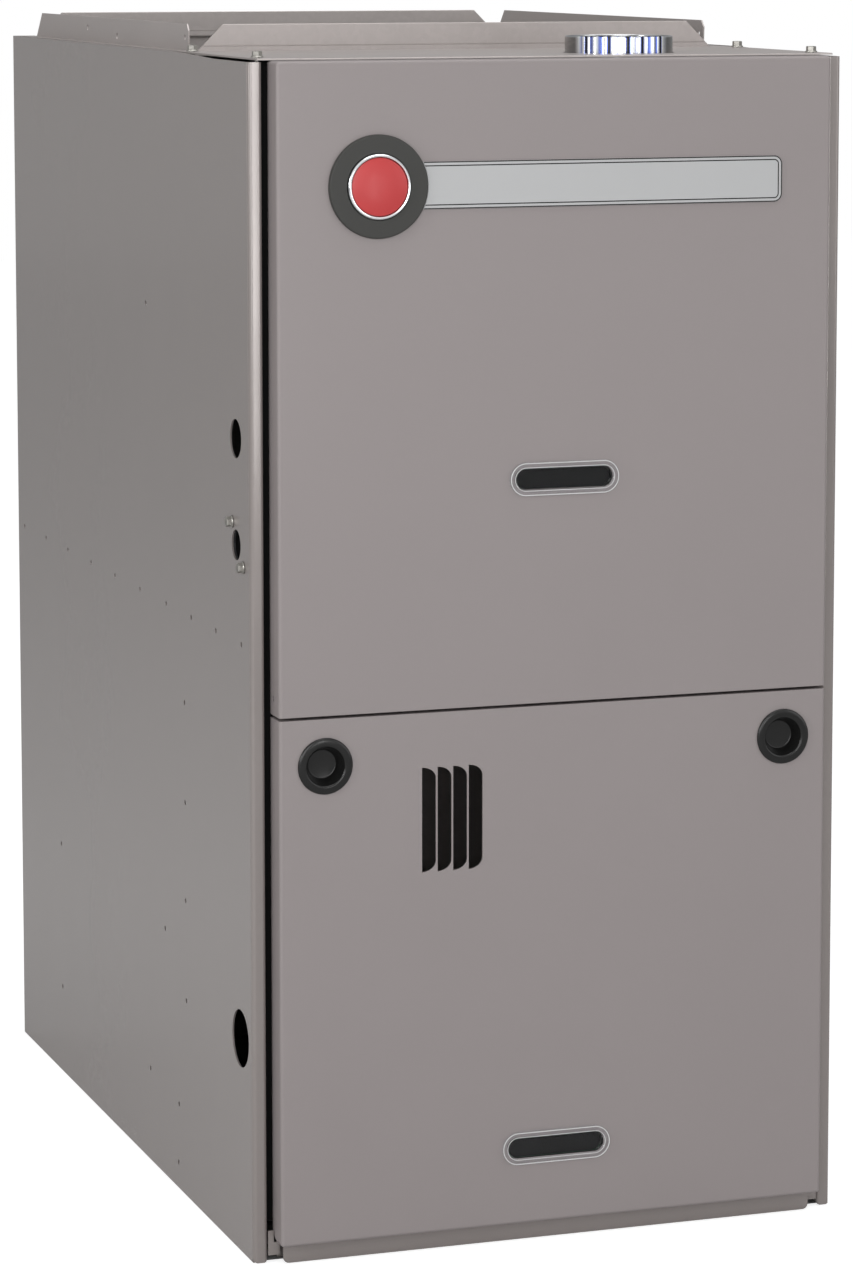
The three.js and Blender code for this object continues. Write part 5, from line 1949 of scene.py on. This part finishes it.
@dataclass
class Studio:
    """Pale floor, white surroundings, the lamps and the camera; lengths are metres."""

    lens: float = 121.647
    sensor: float = 36.0
    place: Point3 = (-1.07875, -3.2240, 0.94764)
    yaw: float = 19.1256
    pitch: float = 6.6461
    shift: Point2 = (-0.01671, -0.16)
    sight: float = 100.0
    floor_size: float = 9.0
    floor_level: float = -0.0006
    footprint: Point2 = (0.222, 0.345)
    footprint_y: float = 0.0145
    paper: Colour = (0.7, 0.7, 0.7)
    shaded_paper: Colour = (0.5, 0.5, 0.5)
    floor_glow: float = 0.8
    ambient: float = 0.42
    bright_way: Point3 = (-0.3, -0.87, 0.4)
    mirrored: Point2 = (0.35, 0.85)

    def build(self) -> None:
        """Builds the whole studio."""
        self.floor()
        self.world()
        for lamp in LAMPS:
            lamp.hang()
        self.camera()
        bpy.context.scene.view_settings.view_transform = "Standard"

    def floor(self) -> None:
        """Lays the pale floor, which glows to the camera and to glass but not under the casing."""
        bm = bmesh.new()
        bmesh.ops.create_grid(bm, x_segments=1, y_segments=1, size=self.floor_size)
        bmesh.ops.translate(bm, verts=bm.verts, vec=(0, 0, self.floor_level))
        mesh = bpy.data.meshes.new("studio_floor")
        bm.to_mesh(mesh)
        bm.free()
        floor = bpy.data.objects.new("studio_floor", mesh)
        bpy.context.scene.collection.objects.link(floor)
        material, board = blank_material("studio_floor_paper")
        spot = board.add("ShaderNodeSeparateXYZ", {"Vector": board.place()}).outputs
        along = board.math("SUBTRACT", spot["Y"], self.footprint_y)
        outside = [
            board.math("GREATER_THAN", board.math("ABSOLUTE", value), half)
            for value, half in zip((spot["X"], along), self.footprint)
        ]
        strength = board.math("MULTIPLY", board.math("MAXIMUM", *outside), self.floor_glow)
        glow = board.add("ShaderNodeEmission", {"Strength": strength}).outputs[0]
        paper, shaded = (
            board.add("ShaderNodeBsdfDiffuse", {"Color": colour}).outputs[0]
            for colour in (self.paper, self.shaded_paper)
        )
        lit = board.add("ShaderNodeAddShader", {0: shaded, 1: glow}).outputs[0]
        board.show(board.choose(board.either_ray("Camera", "Transmission"), paper, lit))
        mesh.materials.append(material)

    def world(self) -> None:
        """Lights the scene evenly, with plain white behind it and darker sides in reflections."""
        world = bpy.data.worlds.new("studio_world")
        bpy.context.scene.world = world
        world.use_nodes = True
        world.node_tree.nodes.clear()
        board = Board(world.node_tree)
        way = board.add("ShaderNodeTexCoord").outputs["Generated"]
        facing = board.add(
            "ShaderNodeVectorMath", {0: way, 1: self.bright_way}, operation="DOT_PRODUCT"
        ).outputs["Value"]
        glossy = board.add("ShaderNodeLightPath").outputs["Is Glossy Ray"]
        plain = board.math("MULTIPLY", board.math("SUBTRACT", 1.0, glossy), self.ambient)
        mirrored = board.math("MULTIPLY", board.spread(facing, -0.35, 0.55, *self.mirrored), glossy)
        soft, white = (
            board.add("ShaderNodeBackground", {"Color": (1, 1, 1), "Strength": strength}).outputs[0]
            for strength in (board.math("ADD", plain, mirrored), 1.0)
        )
        seen = board.either_ray("Camera", "Transmission")
        board.show(board.choose(seen, soft, white), "ShaderNodeOutputWorld")

    def camera(self) -> None:
        """Sets the camera at the photograph's place."""
        data = bpy.data.cameras.new("camera")
        data.lens = self.lens
        data.sensor_width = self.sensor
        data.sensor_fit = "AUTO"
        data.shift_x, data.shift_y = self.shift
        data.clip_end = self.sight
        camera = bpy.data.objects.new("camera", data)
        bpy.context.scene.collection.objects.link(camera)
        camera.location = self.place
        camera.rotation_mode = "XYZ"
        camera.rotation_euler = (math.radians(90 - self.pitch), 0, -math.radians(self.yaw))
        bpy.context.scene.camera = camera


# ------------------------------------------------------------------------------ the whole furnace

PILOT_ROW = (337.4, 262.1, 187.7, 112.5, 37.3, -38.0, -113.5, -182.7, -248.3, -313.5)
PILOT_HOLES = tuple((y, 445.0) for y in PILOT_ROW) + (
    (-61.6, 667.9),
    (-162.5, 377.8),
    (-162.4, 302.2),
    (-162.2, 227.4),
    (-162.1, 151.0),
    (220.6, 193.8),
    (-103.8, 193.5),
    (220.8, 72.3),
    (-57.8, 73.0),
    (-140.0, 65.9),
    (-137.2, 19.9),
)
SIDE_HOLES = ((-302.0, 591.0, 14.0), (-302.0, 515.0, 11.0), (-306.0, 157.5, 21.0))
SIDE_FACE = -224.5
TOP_FACE = 859.9
WINDOWS = ((4.0, 560.0), (-1.0, 71.5))
PULLS = ((-175.5, 362.0), (175.5, 362.0))
SIDE_SCREWS = {"side_screw_rear": (-292.0, 530.5), "side_screw_front": (-319.5, 501.0)}
TOP_SCREWS = {
    "top_screw_front_left": (-212.0, -318.0),
    "top_screw_mid_left": (-212.0, -152.0),
    "top_screw_mid_right": (212.0, -174.0),
    "top_screw_front_right": (206.0, -326.0),
}


def build_casing() -> None:
    """Builds the outside of the cabinet."""
    screws = tuple(SIDE_SCREWS.values())
    SidePanel(-1, holes=SIDE_HOLES, pilot_holes=PILOT_HOLES, screws=screws).build()
    SidePanel(1, pilot_holes=PILOT_HOLES).build()
    DoorSeal(-1).build()
    DoorSeal(1).build()
    TopPlate(screws=tuple(TOP_SCREWS.values())).build()
    BaseRail().build()
    VentCollar().build()
    for name, spot in SIDE_SCREWS.items():
        HexScrew(name, Axis.X, spot, SIDE_FACE, -1).build()
    for name, spot in TOP_SCREWS.items():
        HexScrew(name, Axis.Z, spot, TOP_FACE, 1).build()


def build_doors() -> None:
    """Builds both doors and what they carry."""
    upper, lower = WINDOWS
    DoorPan("upper_door", 397.65, 858.3, upper).build()
    DoorPan("lower_door", 15.0, 395.6, lower, joint_below=False, cups=PULLS, louvres=4).build()
    SightWindow("upper_sight_window", "upper_door", upper).build()
    SightWindow("lower_sight_window", "lower_door", lower).build()
    for name, spot in zip(("left_finger_cup", "right_finger_cup"), PULLS):
        FingerPull(name, spot).build()
    Emblem().build()


def main() -> None:
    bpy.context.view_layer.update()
    build_casing()
    build_doors()
    dress_nodes()
    Studio().build()


if __name__ == "__main__":
    logging.basicConfig(level=logging.INFO, format="%(name)s %(message)s")
    main()
